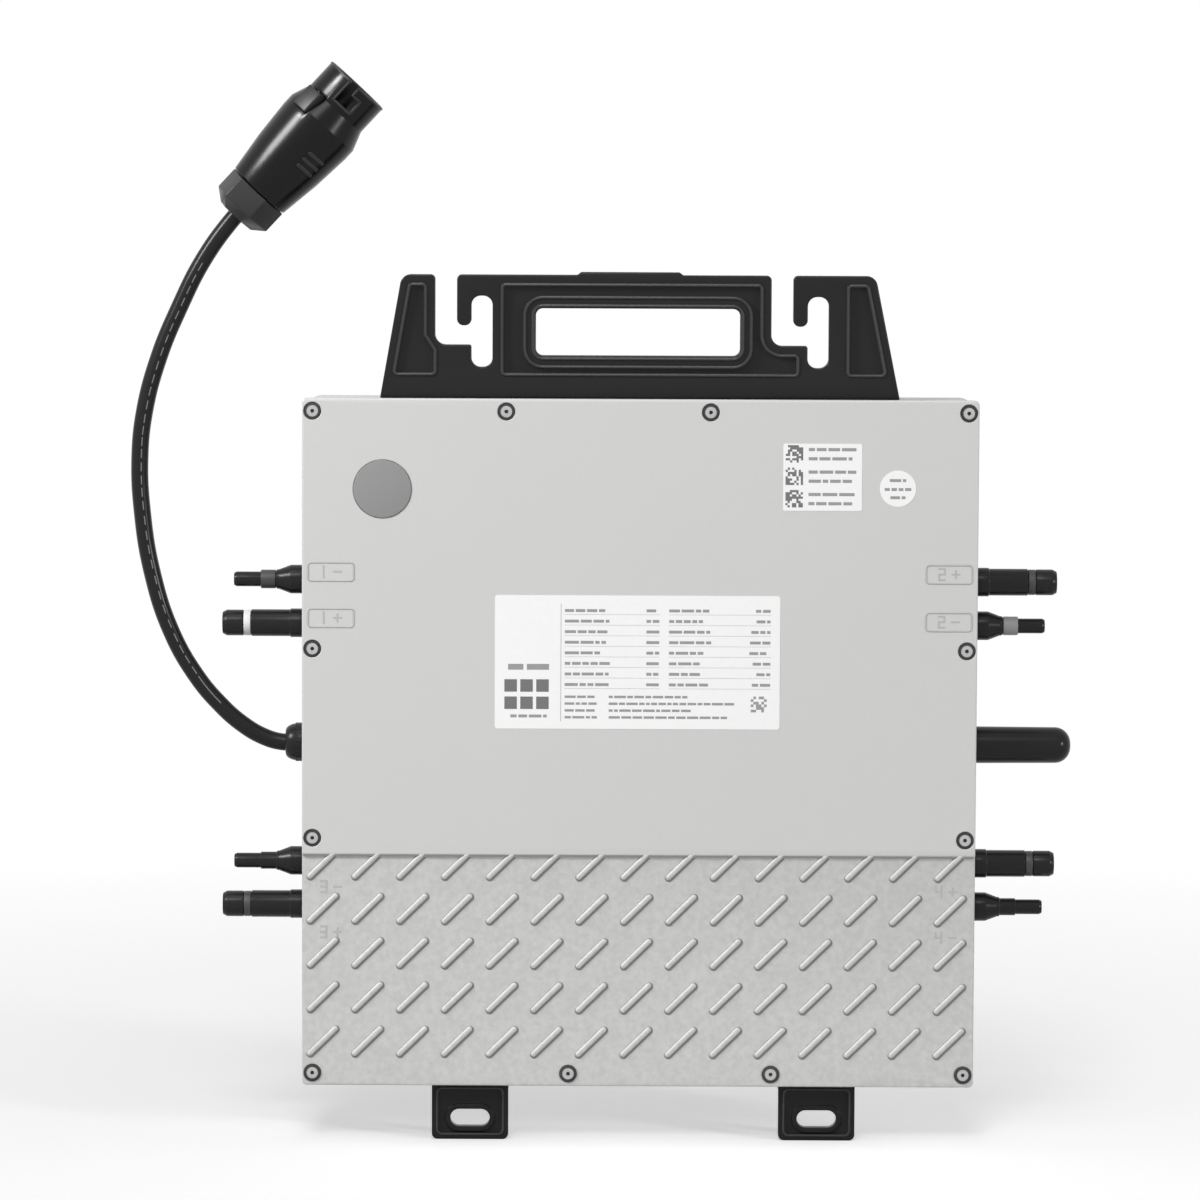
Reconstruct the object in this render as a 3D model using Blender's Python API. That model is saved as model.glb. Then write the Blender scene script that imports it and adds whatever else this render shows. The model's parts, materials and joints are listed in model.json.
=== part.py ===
"""Micro inverter for four solar modules: cast case, hanger bracket, inlets, AC lead and antenna.

Lengths are in metres. Every piece is drawn in the frame of the case: X to the right, Y in depth from
the cover's front face, Z up from the cover's centre. The case empty then puts the back face of the
hanger bracket, where the unit leans on its rail, at the world's origin.
"""
import math

import bmesh
import bpy
from mathutils import Matrix, Vector

# Clearances
GAP = 0.0003            # between two faces that seat on each other
HOLE_GAP = 0.0003       # radial, around a screw or sleeve in its hole

# Front cover
COVER_W = 0.280
COVER_H = 0.287
COVER_T = 0.004
COVER_CORNER = 0.002
TREAD_H = 0.0955        # height of the ribbed field, up from the bottom edge
TREAD_DEPTH = 0.001
RIB_COLUMNS = 15
RIB_ROWS = 5
RIB_PITCH_X = 0.01865
RIB_PITCH_Z = 0.0184
RIB_RUN_X = 0.0106      # from a rib's lower end to its upper end
RIB_RUN_Z = 0.0096
RIB_W = 0.0031
RIB_TOP_ROW = 0.0084    # lower ends of the first row, below the field's upper edge

# Cover screws
SCREW_EDGE_X = 0.0043   # from the side edges to the screw axes
SCREW_EDGE_Z = 0.0053   # from the top and bottom edges
SCREW_FAR_X = 0.0555    # middle screws of the top row, left and right of the centre
SCREW_NEAR_X = 0.0290
SCREW_SIDE_Z = 0.0395
SCREW_R = 0.0015
SCREW_LENGTH = 0.012    # shank below the head
SCREW_HEAD_R = 0.0031
SCREW_HEAD_T = 0.0016
SOCKET_R = 0.0011
SOCKET_DEPTH = 0.0010
COUNTERBORE_R = 0.0040
COUNTERBORE_DEPTH = 0.0021

# Gasket and rear housing
GASKET_T = 0.001
GASKET_EDGE = 0.0005    # set in from the housing's outer face
GASKET_W = 0.0075
REVEAL = 0.0005         # the housing is this much smaller than the cover all round
HOUSING_DEPTH = 0.030
HOUSING_CORNER = 0.006
WALL = 0.009
BACK_T = 0.004
CAVITY_CORNER = 0.004
FIN_COUNT = 17
FIN_T = 0.0026
FIN_H = 0.008
FIN_MARGIN = 0.008      # from the housing's outline to the fins
STANDOFF_H = 0.005
STANDOFF_R = 0.004

# Hanger bracket, heights measured from the cover's top edge
HANGER_SETBACK = 0.006  # from the cover's face to the bracket's face
HANGER_T = 0.006
HANGER_H = 0.051
HANGER_LEFT = -0.108
HANGER_RIGHT = 0.1073
HANGER_LEAN_LEFT = 0.0090
HANGER_LEAN_RIGHT = 0.0103
GRIP_LEFT = -0.025
GRIP_RIGHT = 0.016
GRIP_RISE = 0.0012
FINGER_LEFT = -0.0435
FINGER_RIGHT = 0.0410
FINGER_LOW = 0.0177
FINGER_HIGH = 0.0372
FINGER_CORNER = 0.003
FINGER_RIM_W = 0.0046
HOOK_X = (-0.0658, 0.0733)
HOOK_SLOT_W = 0.0087
HOOK_SLOT_LOW = 0.0128
HOOK_SLOT_HIGH = 0.0423
HOOK_FINGER_W = 0.0060
HOOK_FINGER_LOW = 0.0300
HOOK_CHANNEL_W = 0.0090
HOOK_CHANNEL_LOW = 0.0220
HOOK_TURN_R = 0.0039    # slot ends
HOOK_TIP_R = 0.0027     # finger's free end
HOOK_LIP_R = 0.0020     # upper lips of the channel
RELIEF_DEPTH = 0.0015   # moulded pockets in the bracket's face
RELIEF_LOW = 0.0098
RELIEF_HIGH = 0.0470
RELIEF_WEB = 0.0040     # material left between a pocket and the nearest edge
FLANGE_T = 0.004
FLANGE_D = 0.022        # from the bracket's face to the flange's rear edge
FLANGE_END = 0.006      # the flange is this much shorter than the base at each end
HANGER_SCREW_X = 0.085
MOUNT_RISE = 0.011      # origin above the cover's top edge

# Foot brackets, drops measured from the cover's bottom edge
FOOT_X = (-0.0700, 0.0750)
FOOT_W = 0.032
FOOT_DROP = 0.0237
FOOT_T = 0.005
FOOT_SLOT_W = 0.0165
FOOT_SLOT_H = 0.0073
FOOT_SLOT_DROP = 0.0146
FOOT_CORNER = 0.0025
FOOT_RIM = 0.0022
FOOT_RELIEF = 0.0008
FOOT_FLANGE_D = 0.022
BRACKET_SCREW_SET = 0.010  # screw axes behind the brackets' back plane
BRACKET_SCREW_R = 0.0018
BRACKET_SCREW_LENGTH = 0.0075
BRACKET_HEAD_R = 0.0036
BRACKET_HEAD_T = 0.0024

# Ports in the side walls
PORT_SET = 0.014        # port axes behind the housing's rim
PORT_MID = -0.0015      # gland and antenna, from the cover's centre
PORT_OUTER = 0.0683     # inlets, above and below that
PORT_INNER = 0.0500
INLET_TAIL = 0.015      # length inside the case
INLET_SLEEVE_R = 0.0052
INLET_COLLAR_R = 0.0060
INLET_COLLAR_L = 0.006
PLUG_INLET_BODY_R = 0.0056
PLUG_INLET_BODY_END = 0.0225
PLUG_INLET_GROOVE_R = 0.0048
PLUG_INLET_GROOVE_END = 0.0258
PLUG_INLET_NOSE_R = 0.0054
PLUG_INLET_TIP = 0.0345
PLUG_INLET_CHAMFER = 0.0018
PLUG_INLET_BORE_R = 0.0040
PLUG_INLET_BORE_L = 0.020
SOCKET_INLET_WAIST_R = 0.0041
SOCKET_INLET_WAIST_START = 0.0110
SOCKET_INLET_WAIST_END = 0.0122
SOCKET_INLET_NECK_R = 0.0036
SOCKET_INLET_NECK_END = 0.0186
SOCKET_INLET_TUBE_R = 0.0031
SOCKET_INLET_TIP = 0.0297
SOCKET_INLET_BORE_R = 0.0022
SOCKET_INLET_BORE_L = 0.014

# Antenna
ANTENNA_R = 0.0077
ANTENNA_LENGTH = 0.041
ANTENNA_TAPER = 0.0002
ANTENNA_ROUND = 0.0065
JACK_R = 0.0040
JACK_TAIL = 0.013
JACK_STUB = 0.006

# Cable gland and cable
GLAND_SLEEVE_R = 0.0057
GLAND_TAIL = 0.014
GLAND_STUB = 0.0045
GLAND_NUT_R = 0.0080
GLAND_NUT_RIM = 0.0018
GLAND_NUT_MOUTH_R = 0.0049
GLAND_NUT_L = 0.0082
CABLE_R = 0.0036
CABLE_HOLE_GAP = 0.0006
CABLE_BORE_R = 0.0044
CABLE_STEP = 2.5        # tube points, in cable diameters
CABLE_ROUTE = (         # out from the left wall, and up from the gland's axis
    (0.0175, 0.0022), (0.0266, 0.0076), (0.0357, 0.0157), (0.0454, 0.0273),
    (0.0560, 0.0461), (0.0640, 0.0711), (0.0680, 0.0961), (0.0690, 0.1181), (0.0670, 0.1381),
    (0.0610, 0.1606), (0.0524, 0.1814), (0.0424, 0.2012),
)

# AC plug, stations measured from the rear of its nut
PLUG_REAR_OUT = 0.0290  # from the left wall
PLUG_REAR_UP = 0.2195   # from the gland's axis
PLUG_RISE_DEG = 47.0
PLUG_NUT_L = 0.0140
PLUG_NUT_R = 0.0144     # to the corners of the hexagon
PLUG_NUT_REAR_R = 0.0085
PLUG_NUT_SLOPE = 0.0042
PLUG_NUT_FLOOR = 0.0045
PLUG_NECK_R = 0.0090
PLUG_NECK_BORE_R = 0.0058
PLUG_BODY_REAR_R = 0.0126
PLUG_BODY_MID = 0.0320
PLUG_BODY_MID_R = 0.0150
PLUG_BODY_FULL = 0.0480
PLUG_BODY_FULL_R = 0.0172
PLUG_BODY_END = 0.0530
PLUG_SHOULDER = 0.0610
PLUG_SLEEVE_R = 0.0143
PLUG_SLEEVE_WALL = 0.0022
PLUG_LENGTH = 0.0740
PLUG_INSERT_START = 0.0440
PLUG_INSERT_END = 0.0560
CONTACT_COUNT = 3
CONTACT_HOLE_R = 0.0022
CONTACT_RING_R = 0.0065
CONTACT_HOLE_DEPTH = 0.006
LATCH_L = 0.0100
LATCH_W = 0.0080
LATCH_PROUD = 0.0012
LATCH_ROOT_R = 0.0138
LATCH_START = 0.0515
LATCH_TURN_DEG = -38.0  # from straight ahead, towards the upper left
KEYWAY_W = 0.0036
KEYWAY_L = 0.0045
KEYWAY_FOOT_W = 0.0080
KEYWAY_FOOT_L = 0.0055
KEYWAY_TURN_DEG = -2.0   # from straight ahead, towards the upper left

# Vent disc in the cover
VENT_X = -0.1067
VENT_Z = 0.1060
VENT_R = 0.0120
VENT_T = 0.0009
VENT_SEAT = 0.0008
VENT_HOLE_R = 0.0015

# Circuit board and what stands on it
BOARD_EDGE = 0.0125     # from the cavity's walls to the board
BOARD_T = 0.0016
STANDOFF_INSET = 0.008
SPREADER_W = 0.190
SPREADER_H = 0.036
SPREADER_Z = 0.020
TRANSFORMER_X = (-0.0810, -0.0270, 0.0270, 0.0810)
TRANSFORMER_Z = 0.045
TRANSFORMER_W = 0.036
TRANSFORMER_L = 0.040
TRANSFORMER_H = 0.0155
CORE_L = 0.020
CORE_RISE = 0.0015
CAPACITOR_R = 0.0080
CAPACITOR_L = 0.025
CAPACITOR_Z = 0.090
CHOKE_R = 0.0150
CHOKE_BORE_R = 0.0070
CHOKE_T = 0.012
OUTPUT_CHOKE = (0.060, -0.030)
FILTER_CHOKE = (0.020, -0.030)
RELAY = (-0.040, -0.040, 0.029, 0.013, 0.0155)
FILM_CAPACITOR = (-0.040, -0.070, 0.026, 0.011, 0.0165)
TERMINAL = (-0.098, 0.000, 0.016, 0.030, 0.013)
CONTROL_CHIP = (0.030, -0.075, 0.014, 0.014, 0.0014)
RADIO_BOARD = (0.098, 0.000, 0.018, 0.030, 0.0012)
RADIO_CAN_T = 0.0028
RADIO_CAN_EDGE = 0.003

# Facets of round work
TURN_STEPS = 16
SMALL_STEPS = 10
PLUG_STEPS = 24
ARC_STEPS = 4
SMALL_ARC_STEPS = 2
ROUTE_STEPS = 16        # samples between two given cable points
HEX_SIDES = 6
SHARP_DEG = 35.0        # edges that turn more than this are shaded sharp

# Depths that follow from the sizes above
GASKET_Y = COVER_T + GAP
RIM_Y = GASKET_Y + GASKET_T + GAP
BACK_Y = RIM_Y + HOUSING_DEPTH
FLOOR_Y = BACK_Y - BACK_T
BOARD_BACK = FLOOR_Y - STANDOFF_H - GAP
BOARD_FRONT = BOARD_BACK - BOARD_T
HANGER_BACK = HANGER_SETBACK + HANGER_T
BRACKET_SCREW_Y = HANGER_BACK + BRACKET_SCREW_SET
PORT_Y = RIM_Y + PORT_SET

# Half sizes of the cover and the housing, and the board inside it
COVER_X = COVER_W / 2
COVER_Z = COVER_H / 2
HOUSING_X = COVER_X - REVEAL
HOUSING_Z = COVER_Z - REVEAL
BOARD_W = 2 * (HOUSING_X - WALL - BOARD_EDGE)
BOARD_H = 2 * (HOUSING_Z - WALL - BOARD_EDGE)

FINISHES = {
    "cast_grey": ((0.60, 0.60, 0.59), 0.55, 0.35),
    "screw_steel": ((0.55, 0.55, 0.55), 0.35, 0.90),
    "black_plastic": ((0.018, 0.018, 0.019), 0.45, 0.0),
    "black_rubber": ((0.012, 0.012, 0.012), 0.55, 0.0),
    "seal_rubber": ((0.03, 0.03, 0.03), 0.80, 0.0),
    "vent_grey": ((0.30, 0.30, 0.30), 0.70, 0.0),
    "board_green": ((0.02, 0.14, 0.06), 0.50, 0.0),
    "ferrite": ((0.05, 0.05, 0.05), 0.60, 0.0),
    "component_black": ((0.03, 0.03, 0.03), 0.50, 0.0),
    "component_blue": ((0.04, 0.08, 0.30), 0.40, 0.0),
    "bare_aluminium": ((0.70, 0.70, 0.71), 0.40, 1.0),
}


def clear_scene():
    """Removes every object, so that the script can be run again."""
    for old in list(bpy.data.objects):
        bpy.data.objects.remove(old)


def finish_named(name):
    """Returns the material of that name, made on first use."""
    if name in bpy.data.materials:
        return bpy.data.materials[name]
    colour, roughness, metallic = FINISHES[name]
    made = bpy.data.materials.new(name)
    made.use_nodes = True
    shader = made.node_tree.nodes["Principled BSDF"]
    shader.inputs["Base Color"].default_value = (*colour, 1.0)
    shader.inputs["Roughness"].default_value = roughness
    shader.inputs["Metallic"].default_value = metallic
    return made


def solid(name, shape):
    """Turns a bmesh into an object in the scene."""
    mesh = bpy.data.meshes.new(name)
    shape.to_mesh(mesh)
    shape.free()
    made = bpy.data.objects.new(name, mesh)
    bpy.context.collection.objects.link(made)
    return made


def combine(body, tool, operation):
    """Cuts the tool out of the body, or joins it on, and throws the tool away."""
    modifier = body.modifiers.new(operation, "BOOLEAN")
    modifier.operation = operation
    modifier.object = tool
    view = bpy.context.evaluated_depsgraph_get()
    result = bpy.data.meshes.new_from_object(body.evaluated_get(view))
    body.modifiers.clear()
    body.data = result
    bpy.data.objects.remove(tool)


def dress(piece, finish, case, place=None):
    """Gives a piece its material and shading and puts it in the case's frame."""
    piece.data.materials.clear()
    piece.data.materials.append(finish_named(finish))
    piece.data.shade_smooth()
    piece.data.set_sharp_from_angle(angle=math.radians(SHARP_DEG))
    piece.parent = case
    if place is not None:
        piece.matrix_local = place
    return piece


def gather(shapes):
    """Puts several bmeshes into one."""
    together = bmesh.new()
    for shape in shapes:
        mesh = bpy.data.meshes.new("part_of_group")
        shape.to_mesh(mesh)
        shape.free()
        together.from_mesh(mesh)
        bpy.data.meshes.remove(mesh)
    return together


def rounded_outline(corners, steps=ARC_STEPS):
    """Returns the outline through (x, z, radius) corners, with each corner turned into an arc."""
    outline = []
    for index, (x, z, radius) in enumerate(corners):
        here = Vector((x, z))
        if radius == 0:
            outline.append(here)
            continue
        back = (Vector(corners[index - 1][:2]) - here).normalized()
        ahead = (Vector(corners[(index + 1) % len(corners)][:2]) - here).normalized()
        half = back.angle(ahead) / 2
        centre = here + (back + ahead).normalized() * (radius / math.sin(half))
        start = here + back * (radius / math.tan(half)) - centre
        end = here + ahead * (radius / math.tan(half)) - centre
        first = math.atan2(start.y, start.x)
        sweep = (math.atan2(end.y, end.x) - first + math.pi) % (2 * math.pi) - math.pi
        for step in range(steps + 1):
            angle = first + sweep * step / steps
            outline.append(centre + Vector((math.cos(angle), math.sin(angle))) * radius)
    return outline


def rectangle(left, right, low, high, radius=0.0):
    """Returns the outline of a rectangle with round corners."""
    corners = ((left, low), (left, high), (right, high), (right, low))
    return rounded_outline([(x, z, radius) for x, z in corners])


def prism(outline, near, far):
    """A solid with its outline in X and Z that runs in depth from near to far."""
    shape = bmesh.new()
    front = [shape.verts.new((x, near, z)) for x, z in outline]
    back = [shape.verts.new((x, far, z)) for x, z in outline]
    shape.faces.new(front)
    shape.faces.new(back)
    for index in range(len(outline)):
        shape.faces.new((front[index - 1], front[index], back[index], back[index - 1]))
    bmesh.ops.recalc_face_normals(shape, faces=shape.faces)
    return shape


def block(left, right, near, far, low, high):
    """A plain box between two limits on each axis."""
    return prism(rectangle(left, right, low, high), near, far)


def turned(profile, steps=TURN_STEPS):
    """A solid of revolution about Z, from a closed profile of (radius, height) points."""
    shape = bmesh.new()
    angles = [2 * math.pi * step / steps for step in range(steps)]
    rings = []
    for radius, height in profile:
        if radius == 0:
            rings.append([shape.verts.new((0, 0, height))] * steps)
        else:
            ring = [shape.verts.new((radius * math.cos(a), radius * math.sin(a), height)) for a in angles]
            rings.append(ring)
    for index, ring in enumerate(rings):
        last = rings[index - 1]
        for step in range(steps):
            quad = (last[step - 1], last[step], ring[step], ring[step - 1])
            corners = list(dict.fromkeys(quad))
            if len(corners) > 2:
                shape.faces.new(corners)
    bmesh.ops.recalc_face_normals(shape, faces=shape.faces)
    return shape


def rod(radius, start, end, place, steps=SMALL_STEPS):
    """A plain cylinder along the place's Z axis."""
    shape = turned(((0, start), (radius, start), (radius, end), (0, end)), steps)
    shape.transform(place)
    return shape


def facing(x, y, z, direction):
    """The place at a point whose Z axis looks along a direction."""
    turn = Vector(direction).to_track_quat("Z", "Y").to_matrix().to_4x4()
    return Matrix.Translation((x, y, z)) @ turn


def round_end(radius, reach, fillet, steps=ARC_STEPS):
    """Profile points of a turned end whose edge is rounded by a fillet."""
    points = []
    for step in range(steps + 1):
        angle = math.pi / 2 * step / steps
        across = radius - fillet + fillet * math.cos(angle)
        along = reach - fillet + fillet * math.sin(angle)
        points.append((across, along))
    return points


def cover_screw_points():
    """Places of the cover screws: the top row, the sides, and the same turned half round."""
    edge_x = COVER_X - SCREW_EDGE_X
    edge_z = COVER_Z - SCREW_EDGE_Z
    half = [(-edge_x, edge_z), (-SCREW_FAR_X, edge_z), (SCREW_NEAR_X, edge_z), (edge_x, edge_z)]
    half += [(edge_x, SCREW_SIDE_Z), (-edge_x, SCREW_SIDE_Z)]
    return half + [(-x, -z) for x, z in half]


def port_points():
    """Name, side, height above the ports' middle and kind of each module inlet, in pairs."""
    ports = []
    for pair, side, upper in ((1, -1, True), (2, 1, True), (3, -1, False), (4, 1, False)):
        heights = (PORT_OUTER, PORT_INNER) if upper else (-PORT_INNER, -PORT_OUTER)
        kinds = ("socket", "plug") if side < 0 else ("plug", "socket")
        for height, kind in zip(heights, kinds):
            ports.append((f"pv{pair}_{kind}_inlet", side, height, kind))
    return ports


def wall_place(side, height):
    """The place on a side wall's outer face that looks outwards."""
    return facing(side * HOUSING_X, PORT_Y, PORT_MID + height, (side, 0, 0))


def make_cover(case):
    """Cast front plate: raised upper field, tread ribs below, counterbores and a vent seat."""
    outline = rectangle(-COVER_X, COVER_X, -COVER_Z, COVER_Z, COVER_CORNER)
    cover = solid("front_cover", prism(outline, 0, COVER_T))
    field_top = TREAD_H - COVER_Z
    past = COVER_T
    field = solid("tread_field", block(-COVER_X - past, COVER_X + past, -past, TREAD_DEPTH,
                                       -COVER_Z - past, field_top))
    ribs = []
    first_x = -(RIB_COLUMNS - 1) / 2 * RIB_PITCH_X - RIB_RUN_X / 2
    for row in range(RIB_ROWS):
        for column in range(RIB_COLUMNS):
            start = Vector((first_x + column * RIB_PITCH_X, field_top - RIB_TOP_ROW - row * RIB_PITCH_Z))
            end = start + Vector((RIB_RUN_X, RIB_RUN_Z))
            ribs.append(prism(capsule(start, end, RIB_W / 2, SMALL_ARC_STEPS), -2 * past, COVER_T))
    combine(field, solid("ribs", gather(ribs)), "DIFFERENCE")
    combine(cover, field, "DIFFERENCE")
    holes = []
    for x, z in cover_screw_points():
        place = facing(x, 0, z, (0, 1, 0))
        wall = ((COUNTERBORE_R, -past), (COUNTERBORE_R, COUNTERBORE_DEPTH),
                (SCREW_R + HOLE_GAP, COUNTERBORE_DEPTH), (SCREW_R + HOLE_GAP, 2 * past))
        hole = turned(((0, -past), *wall, (0, 2 * past)), SMALL_STEPS)
        hole.transform(place)
        holes.append(hole)
    vent_seat = turned(((0, -past), (VENT_R + HOLE_GAP, -past), (VENT_R + HOLE_GAP, VENT_SEAT),
                        (VENT_HOLE_R, VENT_SEAT), (VENT_HOLE_R, 2 * past), (0, 2 * past)), 2 * TURN_STEPS)
    vent_seat.transform(facing(VENT_X, 0, VENT_Z, (0, 1, 0)))
    combine(cover, solid("holes", gather(holes + [vent_seat])), "DIFFERENCE")
    dress(cover, "cast_grey", case)
    back = VENT_SEAT - GAP
    disc = rod(VENT_R, back - VENT_T, back, Matrix(), 2 * TURN_STEPS)
    dress(solid("vent_disc", disc), "vent_grey", case, facing(VENT_X, 0, VENT_Z, (0, 1, 0)))


def capsule(start, end, radius, steps=ARC_STEPS):
    """Outline of a bar with round ends between two points in X and Z."""
    along = math.atan2(end.y - start.y, end.x - start.x)
    outline = []
    for centre, first in ((start, along + math.pi / 2), (end, along - math.pi / 2)):
        for step in range(steps + 1):
            angle = first + math.pi * step / steps
            outline.append(centre + Vector((math.cos(angle), math.sin(angle))) * radius)
    return outline


def make_cover_screws(case):
    """Pan head screws with a hexagon socket, seated in the counterbores."""
    seat = COUNTERBORE_DEPTH - GAP
    top = seat - SCREW_HEAD_T
    end = seat + SCREW_LENGTH
    ease = SCREW_HEAD_T / 3
    for number, (x, z) in enumerate(cover_screw_points(), 1):
        profile = ((0, top), (SCREW_HEAD_R - ease, top), (SCREW_HEAD_R, top + ease), (SCREW_HEAD_R, seat),
                   (SCREW_R, seat), (SCREW_R, end), (0, end))
        screw = solid(f"cover_screw_{number:02d}", turned(profile, SMALL_STEPS))
        socket = rod(SOCKET_R, top - SCREW_HEAD_T, top + SOCKET_DEPTH, Matrix(), HEX_SIDES)
        combine(screw, solid("socket", socket), "DIFFERENCE")
        dress(screw, "screw_steel", case, facing(x, 0, z, (0, 1, 0)))


def make_gasket(case):
    """Flat seal between the housing's rim and the cover, holed for the cover screws."""
    outer_x = HOUSING_X - GASKET_EDGE
    outer_z = HOUSING_Z - GASKET_EDGE
    radius = HOUSING_CORNER - GASKET_EDGE
    gasket = solid("cover_gasket", prism(rectangle(-outer_x, outer_x, -outer_z, outer_z, radius),
                                         GASKET_Y, GASKET_Y + GASKET_T))
    inner_x = outer_x - GASKET_W
    inner_z = outer_z - GASKET_W
    tools = [prism(rectangle(-inner_x, inner_x, -inner_z, inner_z, CAVITY_CORNER), 0, RIM_Y)]
    for x, z in cover_screw_points():
        tools.append(rod(SCREW_R + HOLE_GAP, 0, RIM_Y, facing(x, 0, z, (0, 1, 0)), SMALL_STEPS))
    combine(gasket, solid("gasket_holes", gather(tools)), "DIFFERENCE")
    dress(gasket, "seal_rubber", case)


def make_housing(case):
    """Cast tray with cooling fins, board standoffs and every hole in its walls."""
    housing = solid("rear_housing", prism(
        rectangle(-HOUSING_X, HOUSING_X, -HOUSING_Z, HOUSING_Z, HOUSING_CORNER), RIM_Y, BACK_Y))
    cavity_x = HOUSING_X - WALL
    cavity_z = HOUSING_Z - WALL
    cavity = prism(rectangle(-cavity_x, cavity_x, -cavity_z, cavity_z, CAVITY_CORNER), 0, FLOOR_Y)
    combine(housing, solid("cavity", cavity), "DIFFERENCE")
    added = []
    fin_z = HOUSING_Z - FIN_MARGIN
    fin_span = 2 * (HOUSING_X - FIN_MARGIN) - FIN_T
    for number in range(FIN_COUNT):
        x = fin_span * (number / (FIN_COUNT - 1) - 0.5)
        outline = rectangle(x - FIN_T / 2, x + FIN_T / 2, -fin_z, fin_z)
        added.append(prism(outline, BACK_Y - BACK_T / 2, BACK_Y + FIN_H))
    for x, z in standoff_points():
        post = rod(STANDOFF_R, FLOOR_Y - STANDOFF_H, FLOOR_Y + BACK_T / 2, facing(x, 0, z, (0, 1, 0)))
        added.append(post)
    combine(housing, solid("fins_and_standoffs", gather(added)), "UNION")
    holes = []
    for x, z in cover_screw_points():
        depth = COUNTERBORE_DEPTH + SCREW_LENGTH + GAP
        holes.append(rod(SCREW_R + HOLE_GAP, 0, depth, facing(x, 0, z, (0, 1, 0))))
    for name, side, height, kind in port_points():
        holes.append(rod(INLET_SLEEVE_R + HOLE_GAP, -2 * WALL, WALL, wall_place(side, height), TURN_STEPS))
    holes.append(rod(GLAND_SLEEVE_R + HOLE_GAP, -2 * WALL, WALL, wall_place(-1, 0), TURN_STEPS))
    holes.append(rod(JACK_R + HOLE_GAP, -2 * WALL, WALL, wall_place(1, 0), TURN_STEPS))
    bracket_depth = BRACKET_SCREW_LENGTH - FLANGE_T
    for x in (-HANGER_SCREW_X, HANGER_SCREW_X):
        holes.append(rod(BRACKET_SCREW_R + HOLE_GAP, -bracket_depth, WALL,
                         facing(x, BRACKET_SCREW_Y, HOUSING_Z, (0, 0, 1))))
    for x in FOOT_X:
        holes.append(rod(BRACKET_SCREW_R + HOLE_GAP, -bracket_depth, WALL,
                         facing(x, BRACKET_SCREW_Y, -HOUSING_Z, (0, 0, -1))))
    combine(housing, solid("wall_holes", gather(holes)), "DIFFERENCE")
    dress(housing, "cast_grey", case)


def standoff_points():
    """Centres of the posts that carry the board."""
    x = BOARD_W / 2 - STANDOFF_INSET
    z = BOARD_H / 2 - STANDOFF_INSET
    return ((-x, -z), (x, -z), (-x, z), (x, z))


def hook_corners(slot_x):
    """Corners of one hook's cut, from the channel's left lip round to its right lip."""
    left = slot_x - HOOK_SLOT_W / 2
    right = slot_x + HOOK_SLOT_W / 2
    finger = left - HOOK_FINGER_W
    channel = finger - HOOK_CHANNEL_W
    return (
        (channel, HANGER_H, HOOK_LIP_R), (channel, HOOK_CHANNEL_LOW, HOOK_CHANNEL_W / 2),
        (left, HOOK_CHANNEL_LOW, HOOK_LIP_R / 2),
        (left, HOOK_SLOT_LOW, HOOK_TURN_R), (right, HOOK_SLOT_LOW, HOOK_TURN_R),
        (right, HOOK_SLOT_HIGH, HOOK_TURN_R), (left, HOOK_SLOT_HIGH, HOOK_TURN_R),
        (left, HOOK_FINGER_LOW, HOOK_TIP_R), (finger, HOOK_FINGER_LOW, HOOK_TIP_R),
        (finger, HANGER_H, HOOK_LIP_R),
    )


def lifted(outline, height):
    """Moves an outline in Z."""
    return [(x, z + height) for x, z in outline]


def make_hanger(case):
    """Moulded bracket: upright plate with two hooks and a finger opening, on a flange on the top wall."""
    foot = -REVEAL + GAP
    corners = [
        (HANGER_LEFT, foot, 0), (HANGER_LEFT + HANGER_LEAN_LEFT, HANGER_H, HOOK_CHANNEL_W / 2),
        *hook_corners(HOOK_X[0]),
        (GRIP_LEFT - GRIP_RISE, HANGER_H, 0), (GRIP_LEFT, HANGER_H + GRIP_RISE, 0),
        (GRIP_RIGHT, HANGER_H + GRIP_RISE, 0), (GRIP_RIGHT + GRIP_RISE, HANGER_H, 0),
        *hook_corners(HOOK_X[1]),
        (HANGER_RIGHT - HANGER_LEAN_RIGHT, HANGER_H, HOOK_CHANNEL_W / 2), (HANGER_RIGHT, foot, 0),
    ]
    plate = lifted(rounded_outline(corners), COVER_Z)
    hanger = solid("hanger_bracket", prism(plate, HANGER_SETBACK, HANGER_BACK))
    base = HOUSING_Z + GAP
    flange = prism(rectangle(HANGER_LEFT + FLANGE_END, HANGER_RIGHT - FLANGE_END, base, base + FLANGE_T),
                   HANGER_BACK - HANGER_T / 2, HANGER_SETBACK + FLANGE_D)
    combine(hanger, solid("flange", flange), "UNION")
    opening = prism(lifted(finger_outline(0), COVER_Z), 0, 2 * HANGER_BACK)
    combine(hanger, solid("finger_opening", opening), "DIFFERENCE")
    floor = HANGER_SETBACK + RELIEF_DEPTH
    field = solid("relief", prism(lifted(field_outline(), COVER_Z), 0, floor))
    rim = prism(lifted(finger_outline(FINGER_RIM_W), COVER_Z), -GAP, HANGER_BACK)
    combine(field, solid("finger_rim", rim), "DIFFERENCE")
    combine(hanger, field, "DIFFERENCE")
    posts = [prism(lifted(outline, COVER_Z), 0, floor) for outline in post_outlines()]
    combine(hanger, solid("post_pockets", gather(posts)), "DIFFERENCE")
    holes = []
    for x in (-HANGER_SCREW_X, HANGER_SCREW_X):
        place = facing(x, BRACKET_SCREW_Y, base, (0, 0, 1))
        holes.append(rod(BRACKET_SCREW_R + HOLE_GAP, -FLANGE_T, 2 * FLANGE_T, place))
    combine(hanger, solid("flange_holes", gather(holes)), "DIFFERENCE")
    dress(hanger, "black_plastic", case)


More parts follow.
